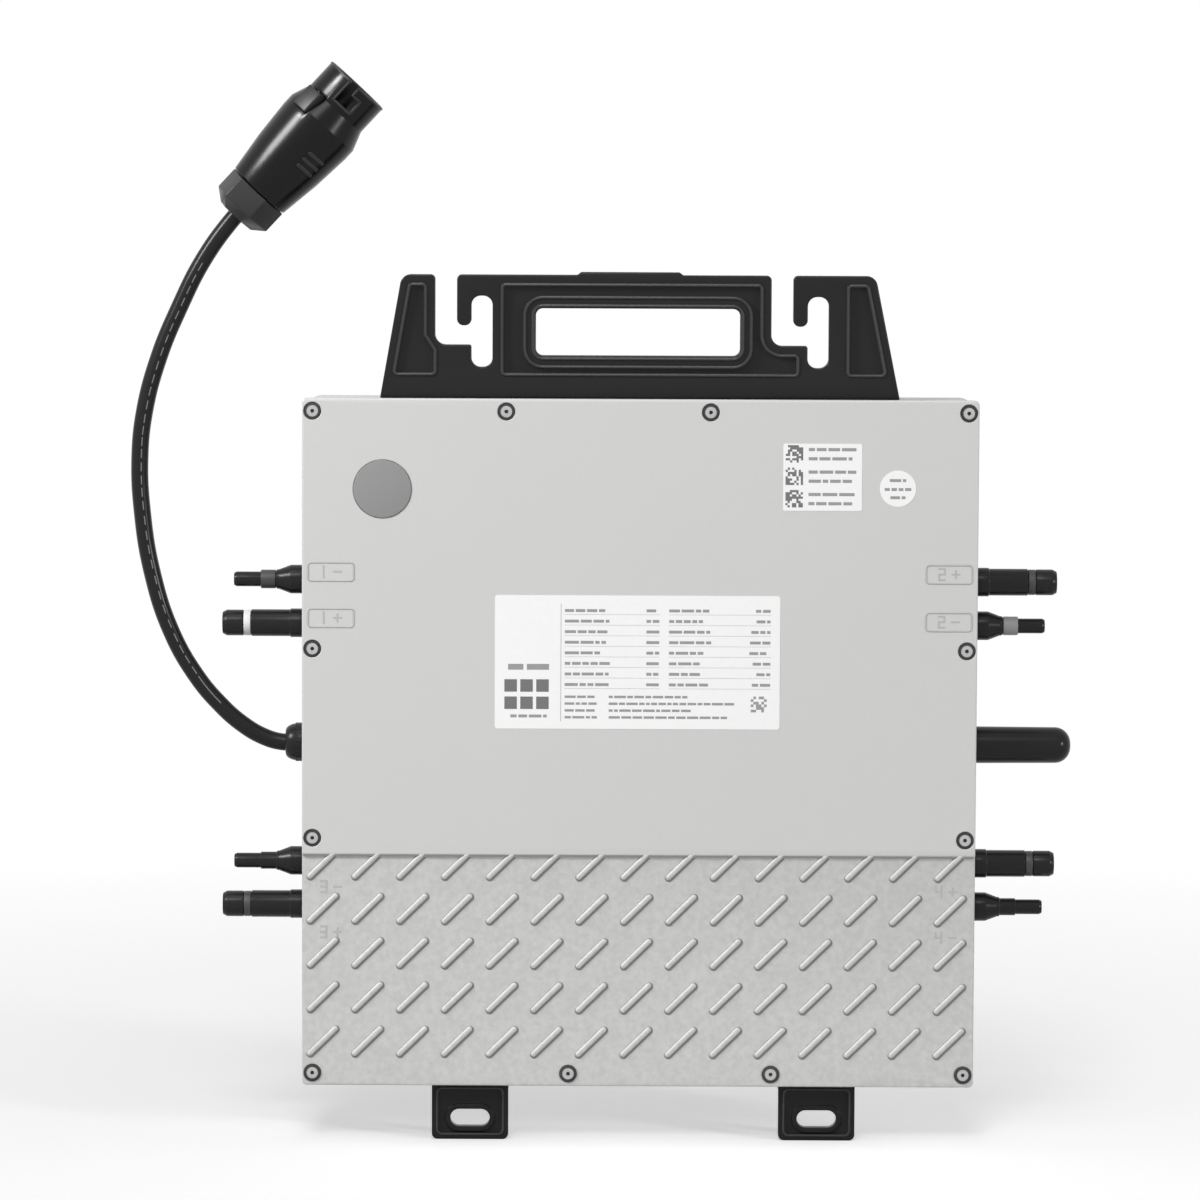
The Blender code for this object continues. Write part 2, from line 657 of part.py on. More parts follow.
def finger_outline(margin):
    """The finger opening's outline, or the outline of the rim a margin outside it."""
    return rectangle(FINGER_LEFT - margin, FINGER_RIGHT + margin, FINGER_LOW - margin, FINGER_HIGH + margin,
                     FINGER_CORNER + margin)


def field_outline():
    """The pocket round the finger opening, which follows the right hook's channel."""
    left = HOOK_X[0] + HOOK_SLOT_W / 2 + RELIEF_WEB
    channel = HOOK_X[1] - HOOK_SLOT_W / 2 - HOOK_FINGER_W - HOOK_CHANNEL_W
    right = HOOK_X[1] - HOOK_SLOT_W / 2 - RELIEF_WEB
    step = HOOK_CHANNEL_LOW - RELIEF_WEB
    ease = RELIEF_DEPTH
    return rounded_outline((
        (left, RELIEF_LOW, ease), (left, RELIEF_HIGH, ease), (channel - RELIEF_WEB, RELIEF_HIGH, ease),
        (channel - RELIEF_WEB, step, HOOK_CHANNEL_W / 2 + RELIEF_WEB),
        (right, step, ease), (right, RELIEF_LOW, ease),
    ))


def post_outlines():
    """The pockets in the two end posts, which follow the slanted ends."""
    ease = RELIEF_DEPTH
    lean_left = HANGER_LEAN_LEFT / HANGER_H
    lean_right = HANGER_LEAN_RIGHT / HANGER_H
    channel = HOOK_X[0] - HOOK_SLOT_W / 2 - HOOK_FINGER_W - HOOK_CHANNEL_W
    inner = channel - RELIEF_WEB
    left = rounded_outline((
        (HANGER_LEFT + RELIEF_WEB + lean_left * RELIEF_LOW, RELIEF_LOW, ease),
        (HANGER_LEFT + RELIEF_WEB + lean_left * RELIEF_HIGH, RELIEF_HIGH, ease),
        (inner, RELIEF_HIGH, ease), (inner, HOOK_CHANNEL_LOW + RELIEF_WEB, ease),
        (channel, HOOK_CHANNEL_LOW - RELIEF_WEB / 2, ease), (channel, RELIEF_LOW, ease),
    ), SMALL_ARC_STEPS)
    slot = HOOK_X[1] + HOOK_SLOT_W / 2 + 2 * RELIEF_WEB
    right = rounded_outline((
        (slot, RELIEF_LOW, ease), (slot, RELIEF_HIGH, ease),
        (HANGER_RIGHT - RELIEF_WEB - lean_right * RELIEF_HIGH, RELIEF_HIGH, ease),
        (HANGER_RIGHT - RELIEF_WEB - lean_right * RELIEF_LOW, RELIEF_LOW, ease),
    ), SMALL_ARC_STEPS)
    return left, right


def make_feet(case):
    """Two L brackets under the bottom wall, in one plane with the hanger's back face."""
    top = -HOUSING_Z - GAP
    low = -COVER_Z - FOOT_DROP
    near = HANGER_BACK - FOOT_T
    for name, x in zip(("foot_left", "foot_right"), FOOT_X):
        left = x - FOOT_W / 2
        right = x + FOOT_W / 2
        corners = ((left, low, FOOT_CORNER), (left, top, 0), (right, top, 0), (right, low, FOOT_CORNER))
        outline = rounded_outline(corners)
        foot = solid(name, prism(outline, near, HANGER_BACK))
        flange = block(left, right, near + FOOT_T / 2, near + FOOT_FLANGE_D, top - FLANGE_T, top)
        combine(foot, solid("foot_flange", flange), "UNION")
        slot_z = -COVER_Z - FOOT_SLOT_DROP
        half = (FOOT_SLOT_W - FOOT_SLOT_H) / 2
        slot = capsule(Vector((x - half, slot_z)), Vector((x + half, slot_z)), FOOT_SLOT_H / 2)
        rim = capsule(Vector((x - half, slot_z)), Vector((x + half, slot_z)), FOOT_SLOT_H / 2 + FOOT_RIM)
        pocket = solid("foot_pocket", prism(rectangle(left + FOOT_RIM, right - FOOT_RIM, low + FOOT_RIM,
                                                      top - FOOT_RIM, FOOT_RIM), 0, near + FOOT_RELIEF))
        combine(pocket, solid("slot_rim", prism(rim, -GAP, HANGER_BACK)), "DIFFERENCE")
        combine(foot, pocket, "DIFFERENCE")
        place = facing(x, BRACKET_SCREW_Y, top, (0, 0, -1))
        hole = rod(BRACKET_SCREW_R + HOLE_GAP, -FLANGE_T, 2 * FLANGE_T, place)
        combine(foot, solid("slot", gather([prism(slot, 0, 2 * HANGER_BACK), hole])), "DIFFERENCE")
        dress(foot, "black_plastic", case)


def make_bracket_screws(case):
    """Pan head screws through the bracket flanges into the top and bottom walls."""
    places = [("hanger_screw_left", -HANGER_SCREW_X, 1), ("hanger_screw_right", HANGER_SCREW_X, 1)]
    places += [("foot_screw_left", FOOT_X[0], -1), ("foot_screw_right", FOOT_X[1], -1)]
    seat = GAP + FLANGE_T + GAP
    top = seat + BRACKET_HEAD_T
    end = seat - BRACKET_SCREW_LENGTH
    for name, x, way in places:
        profile = ((0, end), (BRACKET_SCREW_R, end), (BRACKET_SCREW_R, seat), (BRACKET_HEAD_R, seat),
                   *round_end(BRACKET_HEAD_R, top, BRACKET_HEAD_T / 2, SMALL_ARC_STEPS), (0, top))
        screw = solid(name, turned(profile, SMALL_STEPS))
        socket = rod(BRACKET_SCREW_R, top - BRACKET_HEAD_T / 2, top + BRACKET_HEAD_T, Matrix(), HEX_SIDES)
        combine(screw, solid("socket", socket), "DIFFERENCE")
        dress(screw, "screw_steel", case, facing(x, BRACKET_SCREW_Y, way * HOUSING_Z, (0, 0, way)))


def inlet_root():
    """Profile points shared by both kinds of inlet: the sleeve in the wall and the collar on it."""
    return [(0, -INLET_TAIL), (INLET_SLEEVE_R, -INLET_TAIL), (INLET_SLEEVE_R, GAP), (INLET_COLLAR_R, GAP),
            (INLET_COLLAR_R, INLET_COLLAR_L)]


def plug_inlet_profile():
    """Thick inlet: a body with a seal groove and a chamfered nose round a wide bore."""
    floor = PLUG_INLET_TIP - PLUG_INLET_BORE_L
    ease = INLET_COLLAR_R - PLUG_INLET_BODY_R
    return inlet_root() + [
        (PLUG_INLET_BODY_R, INLET_COLLAR_L + ease), (PLUG_INLET_BODY_R, PLUG_INLET_BODY_END),
        (PLUG_INLET_GROOVE_R, PLUG_INLET_BODY_END), (PLUG_INLET_GROOVE_R, PLUG_INLET_GROOVE_END),
        (PLUG_INLET_NOSE_R, PLUG_INLET_GROOVE_END),
        (PLUG_INLET_NOSE_R, PLUG_INLET_TIP - PLUG_INLET_CHAMFER),
        (PLUG_INLET_NOSE_R - PLUG_INLET_CHAMFER / 2, PLUG_INLET_TIP), (PLUG_INLET_BORE_R, PLUG_INLET_TIP),
        (PLUG_INLET_BORE_R, floor), (0, floor),
    ]


def socket_inlet_profile():
    """Thin inlet: a tapering body, a neck and a slim tube."""
    floor = SOCKET_INLET_TIP - SOCKET_INLET_BORE_L
    ease = SOCKET_INLET_WAIST_R - SOCKET_INLET_NECK_R
    return inlet_root() + [
        (SOCKET_INLET_WAIST_R, SOCKET_INLET_WAIST_START),
        (SOCKET_INLET_WAIST_R, SOCKET_INLET_WAIST_END - ease),
        (SOCKET_INLET_NECK_R, SOCKET_INLET_WAIST_END), (SOCKET_INLET_NECK_R, SOCKET_INLET_NECK_END),
        (SOCKET_INLET_TUBE_R, SOCKET_INLET_NECK_END), (SOCKET_INLET_TUBE_R, SOCKET_INLET_TIP),
        (SOCKET_INLET_BORE_R, SOCKET_INLET_TIP), (SOCKET_INLET_BORE_R, floor), (0, floor),
    ]


def make_inlets(case):
    """Eight module inlets, a thick and a thin one in each pair."""
    profiles = {"plug": plug_inlet_profile(), "socket": socket_inlet_profile()}
    for name, side, height, kind in port_points():
        dress(solid(name, turned(profiles[kind])), "black_plastic", case, wall_place(side, height))


def make_antenna(case):
    """Radio antenna: a round-ended stub that screws onto the jack in the right wall."""
    place = wall_place(1, 0)
    jack = ((0, -JACK_TAIL), (JACK_R, -JACK_TAIL), (JACK_R, JACK_STUB), (0, JACK_STUB))
    dress(solid("antenna_jack", turned(jack, SMALL_STEPS)), "screw_steel", case, place)
    bore = JACK_R + HOLE_GAP
    end = round_end(ANTENNA_R - ANTENNA_TAPER, ANTENNA_LENGTH, ANTENNA_ROUND)
    stub = [(bore, GAP), (ANTENNA_R, GAP), *end, (0, ANTENNA_LENGTH),
            (0, JACK_STUB + GAP), (bore, JACK_STUB + GAP)]
    dress(solid("antenna", turned(stub)), "black_rubber", case, place)


def make_gland(case):
    """Cable gland in the left wall: a fixed sleeve and the dome nut that clamps the cable."""
    place = wall_place(-1, 0)
    sleeve = ((CABLE_BORE_R, -GLAND_TAIL), (GLAND_SLEEVE_R, -GLAND_TAIL), (GLAND_SLEEVE_R, GLAND_STUB),
              (CABLE_BORE_R, GLAND_STUB))
    dress(solid("ac_gland_body", turned(sleeve)), "black_plastic", case, place)
    thread = GLAND_SLEEVE_R + HOLE_GAP
    hole = CABLE_R + CABLE_HOLE_GAP
    dome = []
    for step in range(ARC_STEPS + 1):
        angle = math.pi / 2 * step / ARC_STEPS
        across = GLAND_NUT_MOUTH_R + (GLAND_NUT_R - GLAND_NUT_MOUTH_R) * math.cos(angle)
        dome.append((across, GLAND_NUT_RIM + (GLAND_NUT_L - GLAND_NUT_RIM) * math.sin(angle)))
    nut = [(thread, GAP), (GLAND_NUT_R, GAP), *dome, (hole, GLAND_NUT_L), (hole, GLAND_STUB + GAP),
           (thread, GLAND_STUB + GAP)]
    dress(solid("ac_gland_nut", turned(nut)), "black_plastic", case, place)


def plug_place():
    """The plug's place: its Z axis runs from the rear of its nut to its mouth."""
    rise = math.radians(PLUG_RISE_DEG)
    rear = Vector((-HOUSING_X - PLUG_REAR_OUT, PORT_Y, PORT_MID + PLUG_REAR_UP))
    return facing(*rear, (math.cos(rise), 0, math.sin(rise)))


def plug_side(turn_deg):
    """In the plug's own frame, a place on its axis whose X axis points to the front, turned to one side."""
    ahead = plug_place().to_3x3().inverted() @ Vector((0, -1, 0))
    first = math.atan2(ahead.y, ahead.x)
    return Matrix.Rotation(first + math.radians(turn_deg), 4, "Z")


def make_plug(case):
    """AC plug: rear nut, hollow body with a latch window and a keyway, contact insert and latch tab."""
    place = plug_place()
    bore = PLUG_SLEEVE_R - PLUG_SLEEVE_WALL
    seat = PLUG_NUT_L + GAP
    body = solid("ac_plug_body", turned((
        (PLUG_NECK_BORE_R, PLUG_NUT_FLOOR + GAP), (PLUG_NECK_R, PLUG_NUT_FLOOR + GAP), (PLUG_NECK_R, seat),
        (PLUG_BODY_REAR_R, seat), (PLUG_BODY_MID_R, PLUG_BODY_MID), (PLUG_BODY_FULL_R, PLUG_BODY_FULL),
        (PLUG_BODY_FULL_R, PLUG_BODY_END), (PLUG_SLEEVE_R, PLUG_SHOULDER),
        (PLUG_SLEEVE_R, PLUG_LENGTH), (bore, PLUG_LENGTH), (bore, PLUG_INSERT_START),
        (PLUG_NECK_BORE_R, PLUG_INSERT_START),
    ), PLUG_STEPS))
    window = block(bore - GAP, 2 * PLUG_BODY_FULL_R, -LATCH_W / 2 - GAP, LATCH_W / 2 + GAP,
                   LATCH_START - GAP, LATCH_START + LATCH_L + GAP)
    window.transform(plug_side(LATCH_TURN_DEG))
    way_in = PLUG_LENGTH - KEYWAY_L
    foot_edge = KEYWAY_W / 2 - KEYWAY_FOOT_W
    keyway = rounded_outline((
        (-KEYWAY_W / 2, PLUG_LENGTH + KEYWAY_L, 0), (KEYWAY_W / 2, PLUG_LENGTH + KEYWAY_L, 0),
        (KEYWAY_W / 2, way_in - KEYWAY_FOOT_L, 0), (foot_edge, way_in - KEYWAY_FOOT_L, 0),
        (foot_edge, way_in, 0), (-KEYWAY_W / 2, way_in, 0),
    ))
    slot = prism(keyway, bore - 2 * GAP, 2 * PLUG_BODY_FULL_R)
    slot.transform(plug_side(KEYWAY_TURN_DEG) @ Matrix.Rotation(-math.pi / 2, 4, "Z"))
    combine(body, solid("window_and_keyway", gather([window, slot])), "DIFFERENCE")
    dress(body, "black_plastic", case, place)

    hole = CABLE_R + CABLE_HOLE_GAP
    thread = PLUG_NECK_R + HOLE_GAP
    hexagon = turned(((0, 0), (PLUG_NUT_REAR_R, 0), (PLUG_NUT_R, PLUG_NUT_SLOPE), (PLUG_NUT_R, PLUG_NUT_L),
                      (0, PLUG_NUT_L)), HEX_SIDES)
    nut = solid("ac_plug_nut", hexagon)
    core = turned(((0, -GAP), (hole, -GAP), (hole, PLUG_NUT_FLOOR), (thread, PLUG_NUT_FLOOR),
                   (thread, 2 * PLUG_NUT_L), (0, 2 * PLUG_NUT_L)))
    combine(nut, solid("nut_bore", core), "DIFFERENCE")
    dress(nut, "black_plastic", case, place)

    rear = PLUG_INSERT_START + GAP
    insert = solid("ac_plug_insert", rod(bore - HOLE_GAP, rear, PLUG_INSERT_END, Matrix(), PLUG_STEPS))
    contacts = []
    for number in range(CONTACT_COUNT):
        around = Matrix.Rotation(2 * math.pi * number / CONTACT_COUNT, 4, "Z")
        around = around @ Matrix.Translation((CONTACT_RING_R, 0, 0))
        contacts.append(rod(CONTACT_HOLE_R, PLUG_INSERT_END - CONTACT_HOLE_DEPTH, PLUG_LENGTH, around))
    combine(insert, solid("contact_holes", gather(contacts)), "DIFFERENCE")
    dress(insert, "component_black", case, place)

    latch = block(LATCH_ROOT_R, PLUG_BODY_FULL_R + LATCH_PROUD, -LATCH_W / 2, LATCH_W / 2,
                  LATCH_START, LATCH_START + LATCH_L)
    latch.transform(plug_side(LATCH_TURN_DEG))
    dress(solid("ac_plug_latch", latch), "black_plastic", case, place)


def smooth_route(points, step):
    """Points at even steps on a smooth curve through the given ones (Catmull-Rom)."""
    ends = [points[0] * 2 - points[1], *points, points[-1] * 2 - points[-2]]
    fine = []
    for before, start, end, after in zip(ends, ends[1:], ends[2:], ends[3:]):
        for part in range(ROUTE_STEPS):
            t = part / ROUTE_STEPS
            fine.append(0.5 * (2 * start + (end - before) * t
                               + (2 * before - 5 * start + 4 * end - after) * t ** 2
                               + (3 * start - before - 3 * end + after) * t ** 3))
    fine.append(points[-1])
    reach = [0.0]
    for here, following in zip(fine, fine[1:]):
        reach.append(reach[-1] + (following - here).length)
    count = max(2, round(reach[-1] / step))
    even = []
    index = 0
    for number in range(count + 1):
        wanted = reach[-1] * number / count
        while index < len(fine) - 2 and reach[index + 1] < wanted:
            index += 1
        share = (wanted - reach[index]) / (reach[index + 1] - reach[index])
        even.append(fine[index].lerp(fine[index + 1], share))
    return even


def make_cable(case):
    """The AC lead, from inside the gland's nut to inside the plug's nut."""
    gland = wall_place(-1, 0)
    plug = plug_place()
    leaves = gland @ Vector((0, 0, GLAND_NUT_L + CABLE_R / 2))
    enters = plug @ Vector((0, 0, -CABLE_R / 2))
    route = [gland @ Vector((0, 0, out)) + Vector((0, 0, up)) for out, up in CABLE_ROUTE]
    free = [leaves, *route, enters]
    points = [gland @ Vector((0, 0, GLAND_STUB + GAP)), *smooth_route(free, CABLE_STEP * 2 * CABLE_R),
              plug @ Vector((0, 0, PLUG_NUT_FLOOR - GAP))]
    line = bpy.data.curves.new("ac_cable", "CURVE")
    line.dimensions = "3D"
    line.bevel_depth = CABLE_R
    line.bevel_resolution = 3
    line.use_fill_caps = True
    spline = line.splines.new("POLY")
    spline.points.add(len(points) - 1)
    for slot, point in zip(spline.points, points):
        slot.co = (*point, 1.0)
    cable = bpy.data.objects.new("ac_cable", line)
    bpy.context.collection.objects.link(cable)
    line.materials.append(finish_named("black_rubber"))
    cable.parent = case


def component(name, x, z, width, height, thickness, finish, case):
    """A plain boxed component that stands on the board's front."""
    base = BOARD_FRONT - GAP
    shape = block(x - width / 2, x + width / 2, base - thickness, base, z - height / 2, z + height / 2)
    return dress(solid(name, shape), finish, case)


def make_electronics(case):
    """Circuit board on its posts, the spreader behind it and the main components on it."""
    board = block(-BOARD_W / 2, BOARD_W / 2, BOARD_FRONT, BOARD_BACK, -BOARD_H / 2, BOARD_H / 2)
    dress(solid("main_board", board), "board_green", case)
    spreader = block(-SPREADER_W / 2, SPREADER_W / 2, BOARD_BACK + GAP, FLOOR_Y - GAP,
                     SPREADER_Z - SPREADER_H / 2, SPREADER_Z + SPREADER_H / 2)
    dress(solid("heat_spreader", spreader), "bare_aluminium", case)
    base = BOARD_FRONT - GAP
    for number, x in enumerate(TRANSFORMER_X, 1):
        bobbin = block(x - TRANSFORMER_W / 2, x + TRANSFORMER_W / 2, base - TRANSFORMER_H, base,
                       TRANSFORMER_Z - TRANSFORMER_L / 2, TRANSFORMER_Z + TRANSFORMER_L / 2)
        half_core = TRANSFORMER_W / 2 + CORE_RISE
        core = block(x - half_core, x + half_core, base - TRANSFORMER_H - CORE_RISE, base - CORE_RISE,
                     TRANSFORMER_Z - CORE_L / 2, TRANSFORMER_Z + CORE_L / 2)
        transformer = solid(f"transformer_{number}", bobbin)
        combine(transformer, solid("core", core), "UNION")
        dress(transformer, "ferrite", case)
        can = rod(CAPACITOR_R, -CAPACITOR_L / 2, CAPACITOR_L / 2,
                  facing(x, base - CAPACITOR_R, CAPACITOR_Z, (1, 0, 0)), TURN_STEPS)
        dress(solid(f"input_capacitor_{number}", can), "component_blue", case)
    for name, (x, z) in (("output_choke", OUTPUT_CHOKE), ("filter_choke", FILTER_CHOKE)):
        ring = turned(((CHOKE_BORE_R, 0), (CHOKE_R, 0), (CHOKE_R, CHOKE_T), (CHOKE_BORE_R, CHOKE_T)))
        dress(solid(name, ring), "ferrite", case, facing(x, base, z, (0, -1, 0)))
    component("grid_relay", *RELAY, "component_black", case)
    component("film_capacitor", *FILM_CAPACITOR, "component_blue", case)
    component("ac_terminal_block", *TERMINAL, "board_green", case)
    component("control_chip", *CONTROL_CHIP, "component_black", case)
    radio = component("radio_board", *RADIO_BOARD, "board_green", case)
    x, z, width, height, thickness = RADIO_BOARD
    can = block(x - width / 2 + RADIO_CAN_EDGE, x + width / 2 - RADIO_CAN_EDGE,
                base - thickness - RADIO_CAN_T, base - thickness / 2,
                z - height / 2 + RADIO_CAN_EDGE, z + height / 2 - RADIO_CAN_EDGE)
    radio.parent = None
    combine(radio, solid("can", can), "UNION")
    dress(radio, "board_green", case)


def main():
    clear_scene()
    case = bpy.data.objects.new("case_frame", None)
    case.location = (0, -HANGER_BACK, -COVER_Z - MOUNT_RISE)
    bpy.context.collection.objects.link(case)
    make_cover(case)
    make_cover_screws(case)
    make_gasket(case)
    make_housing(case)
    make_hanger(case)
    make_feet(case)
    make_bracket_screws(case)
    make_inlets(case)
    make_antenna(case)
    make_gland(case)
    make_plug(case)
    make_cable(case)
    make_electronics(case)


main()
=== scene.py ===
# %% [markdown]
# A micro inverter is a flat cast box that hangs behind a solar module. This lesson dresses its CAD model
# for a picture. The CAD stays where it is as the frame, and smoother pieces with rounded edges stand in for
# what a camera sees. Lengths are in metres, as in the CAD.

# %% Frame
import json
import math
import random

import bmesh
import bpy
from mathutils import Matrix, Vector
from mathutils.geometry import interpolate_bezier


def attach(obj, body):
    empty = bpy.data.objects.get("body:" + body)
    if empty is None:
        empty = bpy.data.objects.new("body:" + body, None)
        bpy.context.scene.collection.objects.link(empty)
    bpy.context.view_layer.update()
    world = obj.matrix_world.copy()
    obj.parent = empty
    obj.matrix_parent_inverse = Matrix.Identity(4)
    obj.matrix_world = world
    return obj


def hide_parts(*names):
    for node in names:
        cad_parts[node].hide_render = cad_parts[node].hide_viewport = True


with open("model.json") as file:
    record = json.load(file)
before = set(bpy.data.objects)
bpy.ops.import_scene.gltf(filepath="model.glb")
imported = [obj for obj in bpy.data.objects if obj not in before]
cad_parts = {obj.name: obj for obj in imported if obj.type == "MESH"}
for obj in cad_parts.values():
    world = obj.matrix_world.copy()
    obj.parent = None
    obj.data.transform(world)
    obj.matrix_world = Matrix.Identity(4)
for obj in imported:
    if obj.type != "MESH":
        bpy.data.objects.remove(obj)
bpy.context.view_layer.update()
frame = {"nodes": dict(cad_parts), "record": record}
NODES = frame["nodes"]

# %% [markdown]
# The CAD was drawn from the centre of the cover's front face: X to the right, Y in depth, Z up. The packed
# model is shifted, so one constant leads from those drawing numbers to the places in this file.

# %% Drawing numbers
SHIFT = Vector((0.0, -0.012, -0.1545))
COVER_X, COVER_Z, COVER_T = 0.1400, 0.1435, 0.0040
HOUSING_X, HOUSING_Z = 0.1395, 0.1430
RIM_Y, BACK_Y, FLOOR_Y = 0.0056, 0.0356, 0.0316
PORT_Y, PORT_MID = 0.0196, -0.0015
TREAD_TOP, TREAD_DEPTH = -0.0470, 0.0010
HANGER_FRONT, HANGER_BACK = 0.006, 0.012
PLUG_REAR = Vector((-0.1685, PORT_Y, 0.2180))
PLUG_RISE = math.radians(47.0)
GROUND_Z = -0.1672


def facing(x, y, z, direction):
    """The place at a point whose Z axis looks along a direction."""
    turn = Vector(direction).to_track_quat("Z", "Y").to_matrix().to_4x4()
    return Matrix.Translation((x, y, z)) @ turn


def wall_place(side, height):
    """A place on a side wall's outer face, at a height from the ports' middle, with its Z axis outwards."""
    return facing(side * HOUSING_X, PORT_Y, PORT_MID + height, (side, 0, 0))


PLUG_PLACE = facing(*PLUG_REAR, (math.cos(PLUG_RISE), 0, math.sin(PLUG_RISE)))


def plug_side(turn_deg):
    """In the plug's frame, a turn that leads the X axis to the front, and from there to one side."""
    ahead = PLUG_PLACE.to_3x3().inverted() @ Vector((0, -1, 0))
    return Matrix.Rotation(math.atan2(ahead.y, ahead.x) + math.radians(turn_deg), 4, "Z")


print("plug points along", [round(c, 3) for c in PLUG_PLACE.to_3x3() @ Vector((0, 0, 1))])

# %% [markdown]
# The camera comes first. The photo was taken almost straight on, a little from above and from far away, so
# a long lens at a small elevation gives the same nearly parallel edges.

# %% Camera
CAMERA_RISE = math.radians(5.0)
CAMERA_FAR = 2.4
CAMERA_ROLL = math.radians(0.25)
PICTURE_W = 0.497
SENSOR_MM = 36.0
AIM = Vector((-0.0165, 0.0, 0.0603)) + SHIFT


def new_object(name, data):
    """An object in the scene's own collection."""
    made = bpy.data.objects.new(name, data)
    bpy.context.collection.objects.link(made)
    return made


lens = bpy.data.cameras.new("camera")
lens.sensor_width = SENSOR_MM
lens.lens = SENSOR_MM * CAMERA_FAR / PICTURE_W
camera = new_object("camera", lens)
camera.location = AIM + CAMERA_FAR * Vector((0, -math.cos(CAMERA_RISE), math.sin(CAMERA_RISE)))
upright = (AIM - camera.location).to_track_quat("-Z", "Y").to_matrix()
camera.rotation_euler = (upright @ Matrix.Rotation(CAMERA_ROLL, 3, "Z")).to_euler()
bpy.context.scene.camera = camera
bpy.context.scene.view_settings.view_transform = "Standard"
print("camera at", [round(c, 3) for c in camera.location], "lens", round(lens.lens, 1), "mm")

# %% [markdown]
# Materials and repeated shapes are both built from nodes, so four helpers come first. They make a node
# group with named sockets, add a node with its values, link nodes, and add a noise that follows the piece,
# because it reads Object coordinates.


# %% Node helpers
FLOAT = "NodeSocketFloat"


def new_group(name, inputs, outputs, kind="ShaderNodeTree"):
    """A node group with inputs of (name, type, value) and outputs of (name, type)."""
    group = bpy.data.node_groups.new(name, kind)
    for label, socket_type, value in inputs:
        socket = group.interface.new_socket(label, in_out="INPUT", socket_type=socket_type)
        if value is not None:
            socket.default_value = value
    for label, socket_type in outputs:
        group.interface.new_socket(label, in_out="OUTPUT", socket_type=socket_type)
    return group, group.nodes.new("NodeGroupInput"), group.nodes.new("NodeGroupOutput")


def add_node(tree, kind, values=None, **settings):
    """A node with its own settings, and with values on some of its sockets."""
    made = tree.nodes.new(kind)
    for label, setting in settings.items():
        setattr(made, label, setting)
    for label, value in (values or {}).items():
        made.inputs[label].default_value = value
    return made


def wire(tree, *links):
    """Links of a node and its output to a node and its input."""
    for source, out, target, into in links:
        tree.links.new(source.outputs[out], target.inputs[into])


def object_noise(tree, values):
    coords = add_node(tree, "ShaderNodeTexCoord")
    noise = add_node(tree, "ShaderNodeTexNoise", values)
    wire(tree, (coords, "Object", noise, "Vector"))
    return noise


print("node helpers ready")

# %% [markdown]
# Shader groups hold what several materials share. The first makes the fine grain of castings and moulded
# plastic: a noise that puts out a value and a bumped normal. The second makes the wide, soft patches that
# keep a large face from looking computed. The third is for the cover alone: the lower field of the casting
# is rougher, so below its edge the tone is a little darker and mottled.

# %% Shared shader groups
NOISE_SPREAD = {"From Min": 0.3, "From Max": 0.7}
MOTTLE_TONES = {"To Min": 0.86, "To Max": 0.98}
MOTTLE_SCALE = 420.0


def grain_group():
    group, given, out = new_group(
        "fine grain", [("Scale", FLOAT, 2000.0), ("Strength", FLOAT, 0.2), ("Depth", FLOAT, 0.0001)],
        [("Value", FLOAT), ("Normal", "NodeSocketVector")])
    noise = object_noise(group, {"Detail": 3.0, "Roughness": 0.6})
    bump = add_node(group, "ShaderNodeBump")
    wire(group, (given, "Scale", noise, "Scale"), (noise, "Fac", bump, "Height"),
         (given, "Strength", bump, "Strength"), (given, "Depth", bump, "Distance"),
         (noise, "Fac", out, "Value"), (bump, "Normal", out, "Normal"))
    return group


def patch_group():
    group, given, out = new_group(
        "soft patches", [("Scale", FLOAT, 12.0), ("Low", FLOAT, 0.0), ("High", FLOAT, 1.0)],
        [("Value", FLOAT)])
    noise = object_noise(group, {"Detail": 4.0})
    spread = add_node(group, "ShaderNodeMapRange", NOISE_SPREAD)
    wire(group, (given, "Scale", noise, "Scale"), (noise, "Fac", spread, "Value"),
         (given, "Low", spread, "To Min"), (given, "High", spread, "To Max"),
         (spread, "Result", out, "Value"))
    return group


def tread_group():
    group, given, out = new_group("tread tone", [("Edge", FLOAT, 0.0)], [("Value", FLOAT)])
    coords = add_node(group, "ShaderNodeTexCoord")
    split = add_node(group, "ShaderNodeSeparateXYZ")
    below = add_node(group, "ShaderNodeMath", operation="LESS_THAN")
    noise = object_noise(group, {"Scale": MOTTLE_SCALE})
    mottle = add_node(group, "ShaderNodeMapRange", NOISE_SPREAD | MOTTLE_TONES)
    tone = add_node(group, "ShaderNodeMix", {2: 1.0})
    wire(group, (coords, "Object", split, "Vector"), (split, "Z", below, 0), (given, "Edge", below, 1),
         (noise, "Fac", mottle, "Value"), (below, "Value", tone, 0), (mottle, "Result", tone, 3),
         (tone, 0, out, "Value"))
    return group


GRAIN = grain_group()
PATCHES = patch_group()
TREAD_TONE = tread_group()
print("shader groups:", GRAIN.name, PATCHES.name, TREAD_TONE.name)

# %% [markdown]
# Each material mixes two close tones by the grain and lets the patches move its roughness. Small changes
# like these are what tells cast metal, moulded plastic, rubber and paper apart under the same light.


